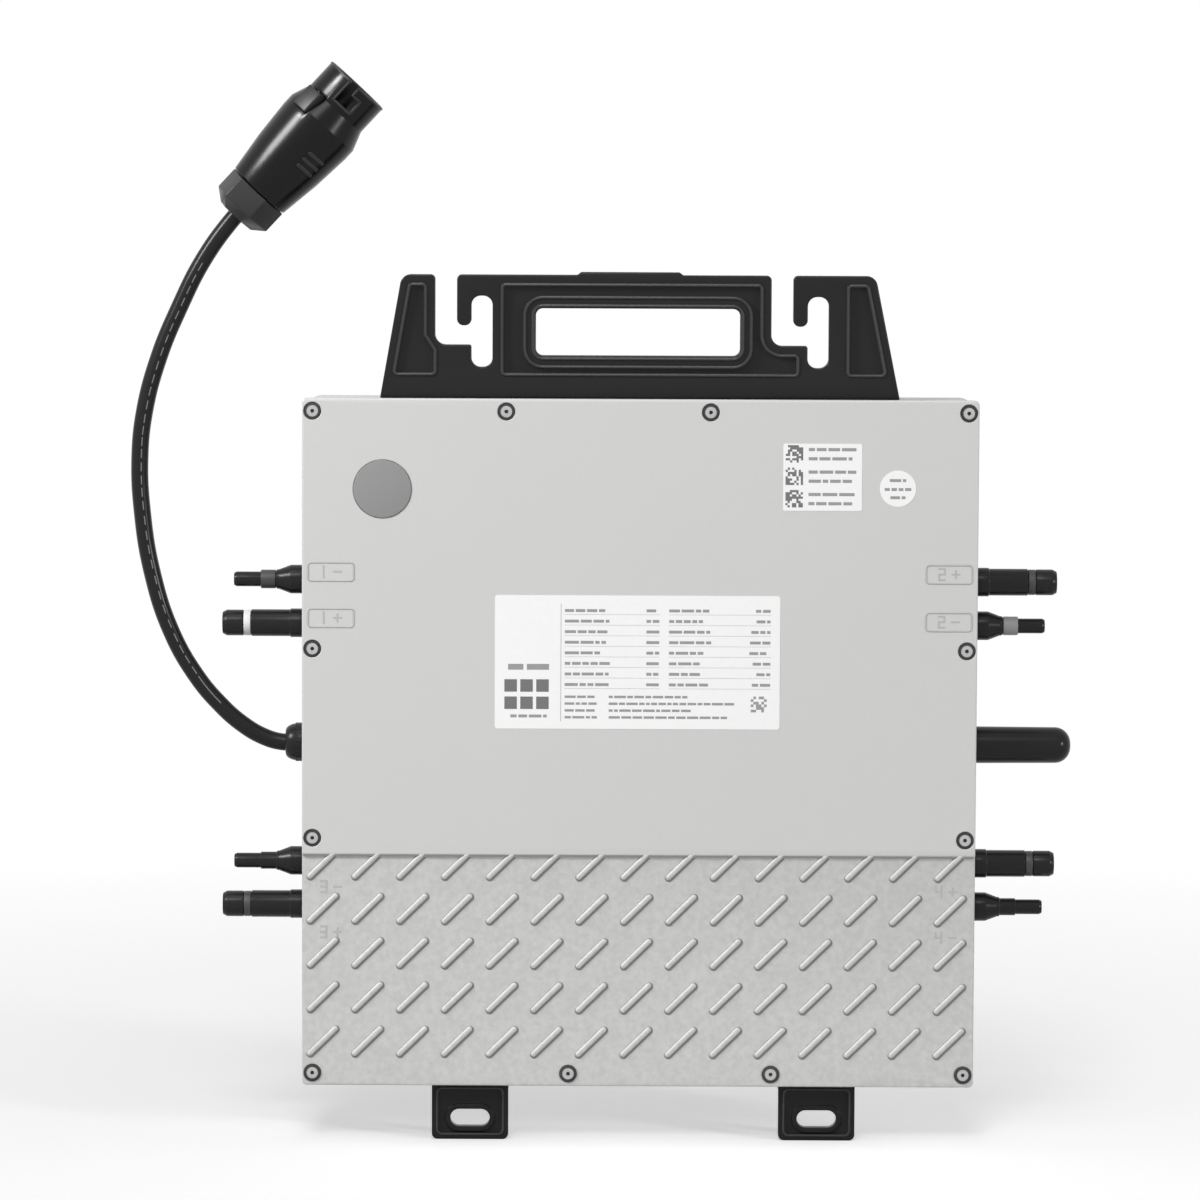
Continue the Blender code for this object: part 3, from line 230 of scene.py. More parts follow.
# %% Material helpers
def surface(name, dark, light, rough, metallic=0.0, grain=(2000.0, 0.2, 0.0001), gloss=0.5):
    """A material between two tones and two roughness values, with a grain of scale, strength and depth."""
    made = bpy.data.materials.new(name)
    made.use_nodes = True
    tree = made.node_tree
    shader = tree.nodes["Principled BSDF"]
    shader.inputs["Metallic"].default_value = metallic
    shader.inputs["Specular IOR Level"].default_value = gloss
    grain_values = dict(zip(("Scale", "Strength", "Depth"), grain))
    texture = add_node(tree, "ShaderNodeGroup", grain_values, node_tree=GRAIN)
    patches = add_node(tree, "ShaderNodeGroup", dict(zip(("Low", "High"), rough)), node_tree=PATCHES)
    tones = add_node(tree, "ShaderNodeMix", {6: (*dark, 1.0), 7: (*light, 1.0)}, data_type="RGBA")
    wire(tree, (texture, "Value", tones, 0), (tones, 2, shader, "Base Color"),
         (patches, "Value", shader, "Roughness"), (texture, "Normal", shader, "Normal"))
    return made


def with_tread(made):
    """Lets the tread tone darken a material's colour."""
    tree = made.node_tree
    paint = tree.nodes["Principled BSDF"].inputs["Base Color"]
    tread = add_node(tree, "ShaderNodeGroup", {"Edge": TREAD_TOP + SHIFT.z}, node_tree=TREAD_TONE)
    product = add_node(tree, "ShaderNodeMix", {0: 1.0}, data_type="RGBA", blend_type="MULTIPLY")
    tree.links.new(paint.links[0].from_socket, product.inputs[6])
    tree.links.new(tread.outputs["Value"], product.inputs[7])
    tree.links.new(product.outputs[2], paint)
    return made


def grey(value):
    return (value, value, value)


print("material helpers ready")

# %% [markdown]
# The case is a light grey casting with plated screws. Brackets, connectors and the plug are black mouldings
# that differ in shine: the plug is polished and its nut is satin. The beads on the brackets' edges are
# paler, a painted highlight, and the feet are darker, a painted shade.

# %% Outer materials
CAST_LOOK = ((0.52, 0.52, 0.51), (0.595, 0.595, 0.585), (0.46, 0.54), 0.12, (2600.0, 0.25, 0.0001))
MOULDED = (3200.0, 0.08, 0.0001)
CAST = surface("cast metal", *CAST_LOOK)
COVER = with_tread(surface("cast cover", *CAST_LOOK))
# painted shade: a darker tone under the ribs and along the step, where shadow falls
SHADE_PAINT = surface("painted shade", grey(0.17), grey(0.23), (0.55, 0.65), metallic=0.1)
MARK = surface("cast mark", grey(0.38), grey(0.44), (0.50, 0.60), metallic=0.2)
STEEL = surface("plated steel", grey(0.40), grey(0.50), (0.34, 0.46), 0.4, (900.0, 0.10, 0.00005))
BLACK = surface("moulded plastic", grey(0.010), grey(0.015), (0.26, 0.34), grain=MOULDED, gloss=0.18)
# painted highlight: a paler black for the beads, where light catches the bracket edges
EDGE_HIGHLIGHT = surface("painted edge highlight", grey(0.026), grey(0.036), (0.24, 0.32), grain=MOULDED, gloss=0.32)
# painted shade: a darker copy of the bracket black, for the shade the feet stand in
SHADED_FOOT_BLACK = surface("foot plastic in painted shade", grey(0.007), grey(0.012), (0.26, 0.34), grain=MOULDED, gloss=0.15)
PORT = surface("connector plastic", grey(0.012), grey(0.018), (0.20, 0.27),
               grain=(2500.0, 0.04, 0.00008), gloss=0.15)
GLOSS = surface("glossy plastic", grey(0.001), grey(0.003), (0.20, 0.25),
                grain=(1800.0, 0.012, 0.00005), gloss=0.20)
SATIN = surface("satin plastic", grey(0.008), grey(0.015), (0.36, 0.44),
                grain=(1800.0, 0.10, 0.0001), gloss=0.36)
RUBBER = surface("soft rubber", grey(0.010), grey(0.016), (0.20, 0.26),
                 grain=(1500.0, 0.03, 0.00008), gloss=0.15)
VENT = surface("vent membrane", grey(0.22), grey(0.28), (0.75, 0.90), grain=(4200.0, 0.5, 0.0001))
FILM = surface("label film", grey(0.82), grey(0.86), (0.35, 0.45), grain=(700.0, 0.03, 0.00005))
INK = surface("dark ink", grey(0.12), grey(0.17), (0.45, 0.55))
FINE_INK = surface("fine print", grey(0.25), grey(0.32), (0.45, 0.55))
CABLE_INK = surface("cable ink", grey(0.10), grey(0.22), (0.50, 0.60))
print("outer materials:", len(bpy.data.materials))

# %% [markdown]
# Seals, contacts and the electronics need simpler finishes: they are seen in narrow gaps, or when the case
# is opened.

# %% Seals and inner materials
SEAL = surface("seal rubber", grey(0.02), grey(0.035), (0.70, 0.85))
SEAL_DARK = surface("dark silicone", grey(0.030), grey(0.045), (0.40, 0.55))
SEAL_GREY = surface("grey silicone", grey(0.24), grey(0.32), (0.45, 0.60))
SEAL_PALE = surface("pale silicone", grey(0.62), grey(0.72), (0.45, 0.60))
BRASS = surface("plated brass", (0.55, 0.42, 0.20), (0.72, 0.57, 0.30), (0.20, 0.32), metallic=1.0)
BOARD = surface("solder mask", (0.012, 0.10, 0.04), (0.02, 0.16, 0.06), (0.30, 0.45),
                grain=(600.0, 0.05, 0.0001))
SPREADER = surface("milled aluminium", grey(0.58), grey(0.72), (0.25, 0.38), 1.0, (1200.0, 0.1, 0.00005))
FERRITE = surface("ferrite", grey(0.04), grey(0.07), (0.55, 0.70), grain=(1800.0, 0.4, 0.0001))
SLEEVE = surface("shrink sleeve", (0.02, 0.05, 0.22), (0.03, 0.07, 0.30), (0.25, 0.40))
COMPONENT = surface("component plastic", grey(0.02), grey(0.03), (0.45, 0.60))
print("materials:", len(bpy.data.materials))

# %% [markdown]
# The AC lead is made next, because it is the largest free form in the picture. It is one curve through the
# same points as in the CAD, with a round bevel, so its length can be measured. A stiff rubber-sheathed lead
# this short keeps the bend that it was packed with.

# %% Cable
CABLE_R, CABLE_LENGTH = 0.0036, 0.260
GLAND_PLACE = wall_place(-1, 0.0)
IN_GLAND, IN_PLUG = (0.0048, 0.0100), (-0.0018, 0.0042)
ROUTE = (
    (0.0175, 0.0022), (0.0266, 0.0076), (0.0357, 0.0157), (0.0454, 0.0273),
    (0.0560, 0.0461), (0.0640, 0.0711), (0.0680, 0.0961), (0.0690, 0.1181), (0.0670, 0.1381),
    (0.0610, 0.1606), (0.0524, 0.1814), (0.0424, 0.2012),
)


def cable_points():
    """The cable's points from inside the gland's nut to inside the plug's nut."""
    points = [GLAND_PLACE @ Vector((0, 0, out)) for out in IN_GLAND]
    points += [GLAND_PLACE @ Vector((0, 0, out)) + Vector((0, 0, up)) for out, up in ROUTE]
    points += [PLUG_PLACE @ Vector((0, 0, along)) for along in IN_PLUG]
    return [point + SHIFT for point in points]


line = bpy.data.curves.new("ac_lead", "CURVE")
line.dimensions = "3D"
line.bevel_depth = CABLE_R
line.bevel_resolution = 8
line.resolution_u = 12
line.use_fill_caps = True
spline = line.splines.new("BEZIER")
spline.bezier_points.add(len(cable_points()) - 1)
for knot, point in zip(spline.bezier_points, cable_points()):
    knot.co = point
    knot.handle_left_type = knot.handle_right_type = "AUTO"
cable = new_object("ac_lead", line)
line.materials.append(RUBBER)
bpy.context.view_layer.update()
print("cable length:", round(spline.calc_length(), 4), "m")

# %% [markdown]
# Every piece starts as a drawn shape. It becomes an object with its place in the mesh, may be cut by
# another shape, and gets its edges rounded, since a real edge always catches a thin line of light. Dressing
# gives it a material and a body to ride on, and hides the CAD nodes that it stands for.


# %% Piece helpers
SHARP_TURN = math.radians(32.0)


def mesh_of(name, shape):
    """The mesh of a drawn shape, which is then let go."""
    mesh = bpy.data.meshes.new(name)
    shape.to_mesh(mesh)
    shape.free()
    return mesh


def mesh_object(name, shape, place=Matrix()):
    """An object from a shape drawn in the case's frame, with its place in the mesh."""
    shape.transform(Matrix.Translation(SHIFT) @ place)
    return new_object(name, mesh_of(name, shape))


def original(shape):
    """An object drawn about its own origin, to be repeated or to cut with."""
    return new_object("original", mesh_of("original", shape))


def merge(shape, part):
    """Adds one drawn shape to another."""
    mesh = mesh_of("part", part)
    shape.from_mesh(mesh)
    bpy.data.meshes.remove(mesh)


def settle(piece):
    """Turns a piece's modifiers into plain mesh."""
    view = bpy.context.evaluated_depsgraph_get()
    mesh = bpy.data.meshes.new_from_object(piece.evaluated_get(view))
    piece.modifiers.clear()
    piece.data = mesh


def cut(body, tool, operation="DIFFERENCE"):
    """Cuts a tool out of a body, or joins it on."""
    modifier = body.modifiers.new("cut", "BOOLEAN")
    modifier.operation = operation
    modifier.object = tool
    settle(body)
    bpy.data.objects.remove(tool)


def ease(piece, width, segments=3, angle=40.0):
    """Rounds every edge of a piece that turns by more than an angle in degrees."""
    modifier = piece.modifiers.new("ease", "BEVEL")
    modifier.width = width
    modifier.segments = segments
    modifier.limit_method = "ANGLE"
    modifier.angle_limit = math.radians(angle)
    modifier.harden_normals = False
    settle(piece)
    return piece


def dress(piece, material, body="case", stands_for=()):
    """Gives a piece its material, shading and body, and hides the CAD nodes that it stands for."""
    piece.data.materials.clear()
    piece.data.materials.append(material)
    if piece.type == "MESH":
        piece.data.shade_smooth()
        piece.data.set_sharp_from_angle(angle=SHARP_TURN)
    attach(piece, body)
    if stands_for:
        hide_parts(*stands_for)
    return piece


print("piece helpers ready")

# %% [markdown]
# Outlines are lists of corners with a radius each. An arc takes the place of a corner, as a cutter or a
# mould leaves it, so only the corners have to be written down.


# %% Outline helpers
def arc(centre, radius, first, sweep, steps):
    """Points on an arc from one angle through a sweep."""
    angles = [first + sweep * step / steps for step in range(steps + 1)]
    return [centre + Vector((math.cos(angle), math.sin(angle))) * radius for angle in angles]


def rounded_outline(corners, steps=10):
    """The outline through (x, z, radius) corners, with each corner turned into an arc."""
    outline = []
    for index, (x, z, radius) in enumerate(corners):
        here = Vector((x, z))
        if radius == 0:
            outline.append(here)
            continue
        back = (Vector(corners[index - 1][:2]) - here).normalized()
        ahead = (Vector(corners[(index + 1) % len(corners)][:2]) - here).normalized()
        half = back.angle(ahead) / 2
        centre = here + (back + ahead).normalized() * (radius / math.sin(half))
        start = here + back * (radius / math.tan(half)) - centre
        end = here + ahead * (radius / math.tan(half)) - centre
        first = math.atan2(start.y, start.x)
        sweep = (math.atan2(end.y, end.x) - first + math.pi) % (2 * math.pi) - math.pi
        outline += arc(centre, radius, first, sweep, steps)
    return outline


def rectangle(left, right, low, high, radius=0.0):
    corners = ((left, low), (left, high), (right, high), (right, low))
    return rounded_outline([(x, z, radius) for x, z in corners])


def capsule(start, end, radius, steps=12):
    """Outline of a bar with round ends."""
    start, end = Vector(start), Vector(end)
    along = math.atan2(end.y - start.y, end.x - start.x)
    return (arc(start, radius, along + math.pi / 2, math.pi, steps)
            + arc(end, radius, along - math.pi / 2, math.pi, steps))


def at_depth(outline, depth):
    """The points of an outline on a face at a depth."""
    return [Vector((x, depth, z)) for x, z in outline]


print("outline helpers ready")

# %% [markdown]
# Two kinds of solid do for most pieces. A prism runs an outline in X and Z through the depth, and a lathe
# turns a profile about an axis, which is how most nuts, plugs and caps are really made.


# %% Solid helpers
def prism(outline, near, far, into=None):
    """A solid with its outline in X and Z that runs in depth from near to far."""
    shape = into or bmesh.new()
    front = [shape.verts.new((x, near, z)) for x, z in outline]
    back = [shape.verts.new((x, far, z)) for x, z in outline]
    faces = [shape.faces.new(front), shape.faces.new(back)]
    for index in range(len(outline)):
        faces.append(shape.faces.new((front[index - 1], front[index], back[index], back[index - 1])))
    bmesh.ops.recalc_face_normals(shape, faces=faces)
    return shape


def lathe(profile, steps):
    """A solid of revolution about Z, from a closed profile of (radius, height) points."""
    shape = bmesh.new()
    turns = arc(Vector((0, 0)), 1.0, 0.0, 2 * math.pi, steps)[:-1]
    rings, faces = [], []
    for radius, height in profile:
        if radius == 0:
            rings.append([shape.verts.new((0, 0, height))] * steps)
        else:
            rings.append([shape.verts.new((radius * x, radius * y, height)) for x, y in turns])
    for index, ring in enumerate(rings):
        last = rings[index - 1]
        for step in range(steps):
            corners = list(dict.fromkeys((last[step - 1], last[step], ring[step], ring[step - 1])))
            if len(corners) > 2:
                faces.append(shape.faces.new(corners))
    bmesh.ops.recalc_face_normals(shape, faces=faces)
    return shape


def rod(radius, low, high, steps):
    """A plain cylinder about Z."""
    return lathe(((0, low), (radius, low), (radius, high), (0, high)), steps)


def eased(profile, radius, steps=4):
    """Rounds the corners of a lathe profile, except those on its axis and those that hardly turn."""
    corners = []
    count = len(profile)
    for index, (across, along) in enumerate(profile):
        before = Vector(profile[index - 1]) - Vector((across, along))
        after = Vector(profile[(index + 1) % count]) - Vector((across, along))
        room = min(before.length, after.length) * 0.45
        turn = math.pi - before.angle(after) if before.length and after.length else 0.0
        if across == 0 or turn < math.radians(8):
            corners.append((across, along, 0))
        else:
            corners.append((across, along, min(radius, room / math.tan(turn / 2))))
    return [tuple(point) for point in rounded_outline(corners, steps)]


print("solid helpers ready")

# %% [markdown]
# Geometry Nodes do the repeating. One group sets an object on every given point, turned as each point says,
# which suits screws and grips. The other makes its own points in rows, from named inputs for the columns,
# the rows and the pitch each way, which suits ribs and fins. Both end by making the copies real and
# painting them.


# %% Groups for copies
GEOMETRY = "NodeSocketGeometry"
COPY_INPUTS = [("Geometry", GEOMETRY, None), ("Original", "NodeSocketObject", None),
               ("Material", "NodeSocketMaterial", None)]
ROW_INPUTS = [("Columns", "NodeSocketInt", 2), ("Rows", "NodeSocketInt", 1), ("Pitch X", FLOAT, 0.01),
              ("Pitch Z", FLOAT, 0.01), ("Middle", "NodeSocketVector", (0.0, 0.0, 0.0))]


def copies_group(name, inputs):
    """A Geometry Nodes group with its common end, and the node that sets an object on points."""
    group, given, out = new_group(name, inputs, [("Geometry", GEOMETRY)], "GeometryNodeTree")
    group.is_modifier = True
    source = add_node(group, "GeometryNodeObjectInfo")
    copies = add_node(group, "GeometryNodeInstanceOnPoints")
    real = add_node(group, "GeometryNodeRealizeInstances")
    painted = add_node(group, "GeometryNodeSetMaterial")
    wire(group, (given, "Original", source, "Object"), (source, "Geometry", copies, "Instance"),
         (copies, "Instances", real, "Geometry"), (real, "Geometry", painted, "Geometry"),
         (given, "Material", painted, "Material"), (painted, "Geometry", out, "Geometry"))
    return group, given, copies


def places_group():
    """Copies on the points of the mesh, turned by a rotation stored on them."""
    group, given, copies = copies_group("set on places", COPY_INPUTS)
    turn = add_node(group, "GeometryNodeInputNamedAttribute", {"Name": "turn"}, data_type="FLOAT_VECTOR")
    wire(group, (given, "Geometry", copies, "Points"), (turn, "Attribute", copies, "Rotation"))
    return group


def rows_group():
    """Copies in rows across X and Z, about a middle."""
    group, given, copies = copies_group("set in rows", COPY_INPUTS + ROW_INPUTS)
    grid = add_node(group, "GeometryNodeMeshGrid")
    upright = add_node(group, "GeometryNodeTransform", {"Rotation": (math.pi / 2, 0.0, 0.0)})
    for count, pitch, axis in (("Columns", "Pitch X", "X"), ("Rows", "Pitch Z", "Y")):
        gaps = add_node(group, "ShaderNodeMath", {1: 1.0}, operation="SUBTRACT")
        size = add_node(group, "ShaderNodeMath", operation="MULTIPLY")
        wire(group, (given, count, gaps, 0), (gaps, "Value", size, 0), (given, pitch, size, 1),
             (size, "Value", grid, "Size " + axis), (given, count, grid, "Vertices " + axis))
    wire(group, (grid, "Mesh", upright, "Geometry"), (given, "Middle", upright, "Translation"),
         (upright, "Geometry", copies, "Points"))
    return group


PLACES, ROWS = places_group(), rows_group()
print("groups for copies:", PLACES.name, "and", ROWS.name)


# %% Repeat helpers
def run_group(name, mesh, group, values):
    """Runs a group of copies on a mesh and keeps the result as plain mesh."""
    made = new_object(name, mesh)
    modifier = made.modifiers.new("copies", "NODES")
    modifier.node_group = group
    for item in group.interface.items_tree:
        if item.in_out == "INPUT" and item.name in values:
            modifier[item.identifier] = values[item.name]
    settle(made)
    bpy.data.objects.remove(values["Original"])
    print(f"{name}: {len(made.data.polygons)} faces")
    return made


def repeat(name, source, places, material, body="case", stands_for=()):
    """A dressed piece with a copy of the source at each place, which is a matrix in the case's frame."""
    mesh = bpy.data.meshes.new(name)
    mesh.from_pydata([tuple(place.translation + SHIFT) for place in places], [], [])
    turns = mesh.attributes.new("turn", "FLOAT_VECTOR", "POINT")
    for index, place in enumerate(places):
        turns.data[index].vector = place.to_euler()
    made = run_group(name, mesh, PLACES, {"Original": source, "Material": material})
    return dress(made, material, body, stands_for)


def repeat_rows(name, source, counts, pitches, middle, material):
    """A dressed piece with copies of the source in columns and rows about a middle."""
    values = {"Original": source, "Material": material, "Middle": tuple(middle + SHIFT)}
    values |= dict(zip(("Columns", "Rows"), counts)) | dict(zip(("Pitch X", "Pitch Z"), pitches))
    return dress(run_group(name, bpy.data.meshes.new(name), ROWS, values), material)


print("repeat helpers ready")

# %% [markdown]
# The cover is a cast plate with a flat upper field and a lower field set back by a millimetre. A tool as
# wide as the plate cuts the lower field, with a short slope at its edge as a mould needs, and then the
# seats for the screws and the vent are cut. Tools reach past the faces that they cut, so that no thin skin
# is left.

# %% Cover plate
PAST = 0.01
COVER_CORNER = 0.002
TREAD_SLOPE, SLOPE_TOP, TOOL_REACH = 0.0009, 0.016, 0.2
ACROSS = Matrix(((0, -1, 0), (1, 0, 0), (0, 0, 1))).to_4x4()
SCREW_X, SCREW_Z = COVER_X - 0.0043, COVER_Z - 0.0053
SCREW_HALF = [(-SCREW_X, SCREW_Z), (-0.0555, SCREW_Z), (0.0290, SCREW_Z), (SCREW_X, SCREW_Z),
              (SCREW_X, 0.0395), (-SCREW_X, 0.0395)]
SCREWS = SCREW_HALF + [(-x, -z) for x, z in SCREW_HALF]
SCREW_PLACES = [facing(x, 0, z, (0, 1, 0)) for x, z in SCREWS]
SEAT_R, SEAT_FLOOR, SEAT_TOP, SEAT_END = 0.0037, 0.0021, -0.0020, 0.0080
SEAT = ((0, SEAT_TOP), (0.0041, SEAT_TOP), (0.0041, -0.0002), (SEAT_R, 0.0003), (SEAT_R, SEAT_FLOOR),
        (0.0018, SEAT_FLOOR), (0.0018, SEAT_END), (0, SEAT_END))
VENT_R, VENT_PLACE = 0.0120, facing(-0.1067, 0, 0.1060, (0, 1, 0))
VENT_SEAT, VENT_GAP = 0.0008, 0.0003
cover_line = rectangle(-COVER_X, COVER_X, -COVER_Z, COVER_Z, COVER_CORNER)
cover = mesh_object("cover_plate", prism(cover_line, 0, COVER_T))
step_profile = ((-PAST, TREAD_TOP + SLOPE_TOP), (0.0, TREAD_TOP + TREAD_SLOPE), (TREAD_DEPTH, TREAD_TOP),
                (TREAD_DEPTH, -TOOL_REACH), (-PAST, -TOOL_REACH))
set_back = prism(step_profile, -TOOL_REACH, TOOL_REACH)
set_back.transform(ACROSS)
cut(cover, mesh_object("set_back", set_back))
ease(cover, 0.0006, 3, 30.0)
seats = bmesh.new()
for place in SCREW_PLACES:
    seat = lathe(SEAT, 48)
    seat.transform(place)
    merge(seats, seat)
vent_seat = rod(VENT_R + VENT_GAP, SEAT_TOP, VENT_SEAT, 96)
vent_seat.transform(VENT_PLACE)
merge(seats, vent_seat)
cut(cover, mesh_object("seats", seats))
dress(cover, COVER, stands_for=["front_cover"])
print("cover plate:", len(cover.data.polygons), "faces")

# %% [markdown]
# The tread ribs are slanted bars with round ends. One bar is drawn with a rounded upper edge and repeated
# on a grid of 15 by 5. The first row reaches into the step, so its upper ends run out into the flat field.
# A painted shade lies under each bar: a wider, darker plate, a little to its lower side, where the
# shadow falls. A strip of the same painted shade runs along the step, which faces down into shadow.

# %% Tread ribs
RIB_COUNTS = (15, 5)
RIB_PITCHES = (0.01865, 0.01862)
RIB_FOOT, RIB_MIDDLE = -0.0556, -0.0062
RIB_RUN = Vector((0.0106, 0.0104))
RIB_R, RIB_FRONT, RIB_SINK = 0.00118, 0.00002, 0.0010
# The painted shade under each rib is wider than the rib and leans to its lower side.
SHADE_R, SHADE_LIFT, SHADE_SINK = RIB_R + 0.0005, 0.00003, 0.0005
SHADE_LEAN = Vector((0.0003, -0.0003))
STEP_INSET, STEP_FRONT = 0.0006, 0.00015
rib = ease(original(prism(capsule((0, 0), RIB_RUN, RIB_R), RIB_FRONT, TREAD_DEPTH + RIB_SINK)), 0.0011, 6)
rib_shade_line = capsule(SHADE_LEAN, RIB_RUN + SHADE_LEAN, SHADE_R)
rib_shade = original(prism(rib_shade_line, TREAD_DEPTH - SHADE_LIFT, TREAD_DEPTH + SHADE_SINK))
field_middle = Vector((RIB_MIDDLE, 0, RIB_FOOT - (RIB_COUNTS[1] - 1) / 2 * RIB_PITCHES[1]))
for name, source, material in (("tread_ribs", rib, COVER), ("rib_roots", rib_shade, SHADE_PAINT)):
    repeat_rows(name, source, RIB_COUNTS, RIB_PITCHES, field_middle, material)
# painted shade: a darker strip along the step's edge, which faces down into shadow
step_shade_line = rectangle(STEP_INSET - COVER_X, COVER_X - STEP_INSET, TREAD_TOP - 0.0001, TREAD_TOP + 0.0007)
step_root = mesh_object("step_root", prism(step_shade_line, STEP_FRONT, TREAD_DEPTH + SHADE_SINK))
dress(step_root, SHADE_PAINT)

# %% [markdown]
# Twelve pan head screws hold the cover. A lathe makes the head, and a six-sided tool cuts the socket. A dark
# ring round each head and a dark disc at the bottom of its socket are painted shade in the seal rubber,
# which draws the dark rings.

# %% Cover screws
SCREW_TOP, SCREW_SEAT, SCREW_END = 0.0003, 0.0018, 0.0138
HEAD_R, SHANK_R, SOCKET_R = 0.0028, 0.0015, 0.0009
head = eased(((0, SCREW_TOP), (HEAD_R, SCREW_TOP), (HEAD_R + 0.0001, SCREW_SEAT), (SHANK_R, SCREW_SEAT),
              (SHANK_R, SCREW_END), (0, SCREW_END)), 0.0005)
screw = original(lathe(head, 40))
cut(screw, original(rod(SOCKET_R, -0.001, 0.0012, 6)))
# painted shade: a dark ring in the gap round each head and a dark disc in each socket
painted_seat_shade = lathe(((0.0024, 0.0002), (0.00372, 0.0006), (0.00372, SEAT_FLOOR), (0.0024, SEAT_FLOOR)), 40)
merge(painted_seat_shade, rod(0.00075, 0.0009, 0.0012, 24))
repeat("screw_compound", original(painted_seat_shade), SCREW_PLACES, SEAL)
repeat("cover_screws", screw, SCREW_PLACES, STEEL,
       stands_for=[f"cover_screw_{n:02d}" for n in range(1, 13)])

# %% [markdown]
# A round membrane lets the sealed case breathe. It is a thin disc that lies in its seat, a little proud of
# the cover.

# %% Vent
VENT_PROUD, VENT_BACK = -0.0004, 0.0005
vent_profile = ((0, VENT_PROUD), (VENT_R, VENT_PROUD), (VENT_R, VENT_BACK), (0, VENT_BACK))
vent = mesh_object("vent", lathe(eased(vent_profile, 0.0003), 96), VENT_PLACE)
dress(vent, VENT, stands_for=["vent_disc"])
print("vent:", len(vent.data.polygons), "faces")

# %% [markdown]
# The housing is a tray with rounded corners, a cavity for the electronics and cooling fins on its back. The
# fins are one rounded blade, repeated across the width.

# %% Housing
WALL, HOUSING_CORNER, CAVITY_CORNER = 0.009, 0.006, 0.004
FIN_COUNT, FIN_SPAN, FIN_W, FIN_H = 17, 0.2604, 0.0026, 0.0080
FIN_END, FIN_ROOT = 0.1350, 0.001
tray = rectangle(-HOUSING_X, HOUSING_X, -HOUSING_Z, HOUSING_Z, HOUSING_CORNER)
hollow = rectangle(WALL - HOUSING_X, HOUSING_X - WALL, WALL - HOUSING_Z, HOUSING_Z - WALL, CAVITY_CORNER)
housing = mesh_object("housing", prism(tray, RIM_Y, BACK_Y))
cut(housing, mesh_object("cavity", prism(hollow, -PAST, FLOOR_Y)))
ease(housing, 0.0012, 4)
dress(housing, CAST, stands_for=["rear_housing"])
fin_line = rectangle(-FIN_W / 2, FIN_W / 2, -FIN_END, FIN_END)
fin = ease(original(prism(fin_line, BACK_Y - FIN_ROOT, BACK_Y + FIN_H)), 0.0008)
fin_pitches = (FIN_SPAN / (FIN_COUNT - 1), FIN_SPAN)
repeat_rows("fins", fin, (FIN_COUNT, 1), fin_pitches, Vector((0, 0, 0)), CAST)

# %% [markdown]
# The hanger bracket is a moulding: a plate with two hooks and a grip, pocketed to save material. The
# outline walks round the plate once, through both hooks, and the pockets are cut from the face afterwards.

# %% Hanger bracket
HOOKS = (-0.0658, 0.0733)
SLOT_W, FINGER_W, CHANNEL_W = 0.0087, 0.0060, 0.0090
PLATE_H, PLATE_LOW, GRIP_RISE = 0.0510, -0.0002, 0.0012
SHOULDER_R, HOOK_TOP_R, SLOT_R, FINGER_R = 0.0045, 0.0020, 0.0039, 0.0027
CHANNEL_R, LIP_R = 0.0045, 0.0010
SLOT_LOW, SLOT_HIGH, FINGER_LOW, CHANNEL_LOW = 0.0128, 0.0423, 0.0300, 0.0220


def hook_sides(slot_x):
    """The channel's left side, the finger's left side and both sides of the slot of one hook."""
    left, right = slot_x - SLOT_W / 2, slot_x + SLOT_W / 2
    return left - FINGER_W - CHANNEL_W, left - FINGER_W, left, right


def hook_corners(slot_x):
    channel, finger, left, right = hook_sides(slot_x)
    return ((channel, PLATE_H, HOOK_TOP_R), (channel, CHANNEL_LOW, CHANNEL_R), (left, CHANNEL_LOW, LIP_R),
            (left, SLOT_LOW, SLOT_R), (right, SLOT_LOW, SLOT_R), (right, SLOT_HIGH, SLOT_R),
            (left, SLOT_HIGH, SLOT_R), (left, FINGER_LOW, FINGER_R), (finger, FINGER_LOW, FINGER_R),
            (finger, PLATE_H, HOOK_TOP_R))


def raised(outline):
    """Heights on the bracket are measured from the cover's top edge."""
    return [(x, z + COVER_Z) for x, z in outline]


plate_corners = [
    (-0.1080, PLATE_LOW, 0), (-0.0990, PLATE_H, SHOULDER_R), *hook_corners(HOOKS[0]),
    (-0.0262, PLATE_H, 0), (-0.0250, PLATE_H + GRIP_RISE, 0), (0.0160, PLATE_H + GRIP_RISE, 0),
    (0.0172, PLATE_H, 0), *hook_corners(HOOKS[1]), (0.0970, PLATE_H, SHOULDER_R), (0.1073, PLATE_LOW, 0)]
hanger = mesh_object("hanger", prism(raised(rounded_outline(plate_corners)), HANGER_FRONT, HANGER_BACK))
opening = prism(raised(rectangle(-0.0435, 0.0410, 0.0177, 0.0372, 0.003)), -PAST, HANGER_BACK + PAST)
cut(hanger, mesh_object("opening", opening))
print("hanger plate:", len(hanger.data.polygons), "faces")

# %% [markdown]
# The pockets of the bracket keep a border along its edges. They are cut to one depth, and a rim is left
# round the finger opening. A thin bead runs along every border, which is what the light picks out on the
# black face, and the beads are painted paler as a painted highlight.

# %% Hanger pockets and beads
POCKET_LOW, POCKET_HIGH, POCKET_R, POCKET_DEPTH = 0.0098, 0.0470, 0.0015, 0.0015
BORDER, FIELD_IN, POST_IN = 0.0040, 0.00835, 0.01235
HANGER_BEAD, BEAD_STEPS = 0.0008, 3
FLANGE_LEFT, FLANGE_RIGHT, FLANGE_LOW, FLANGE_T = -0.1020, 0.1013, 0.1433, 0.0040
FLANGE_FRONT, FLANGE_BACK = 0.0095, 0.028


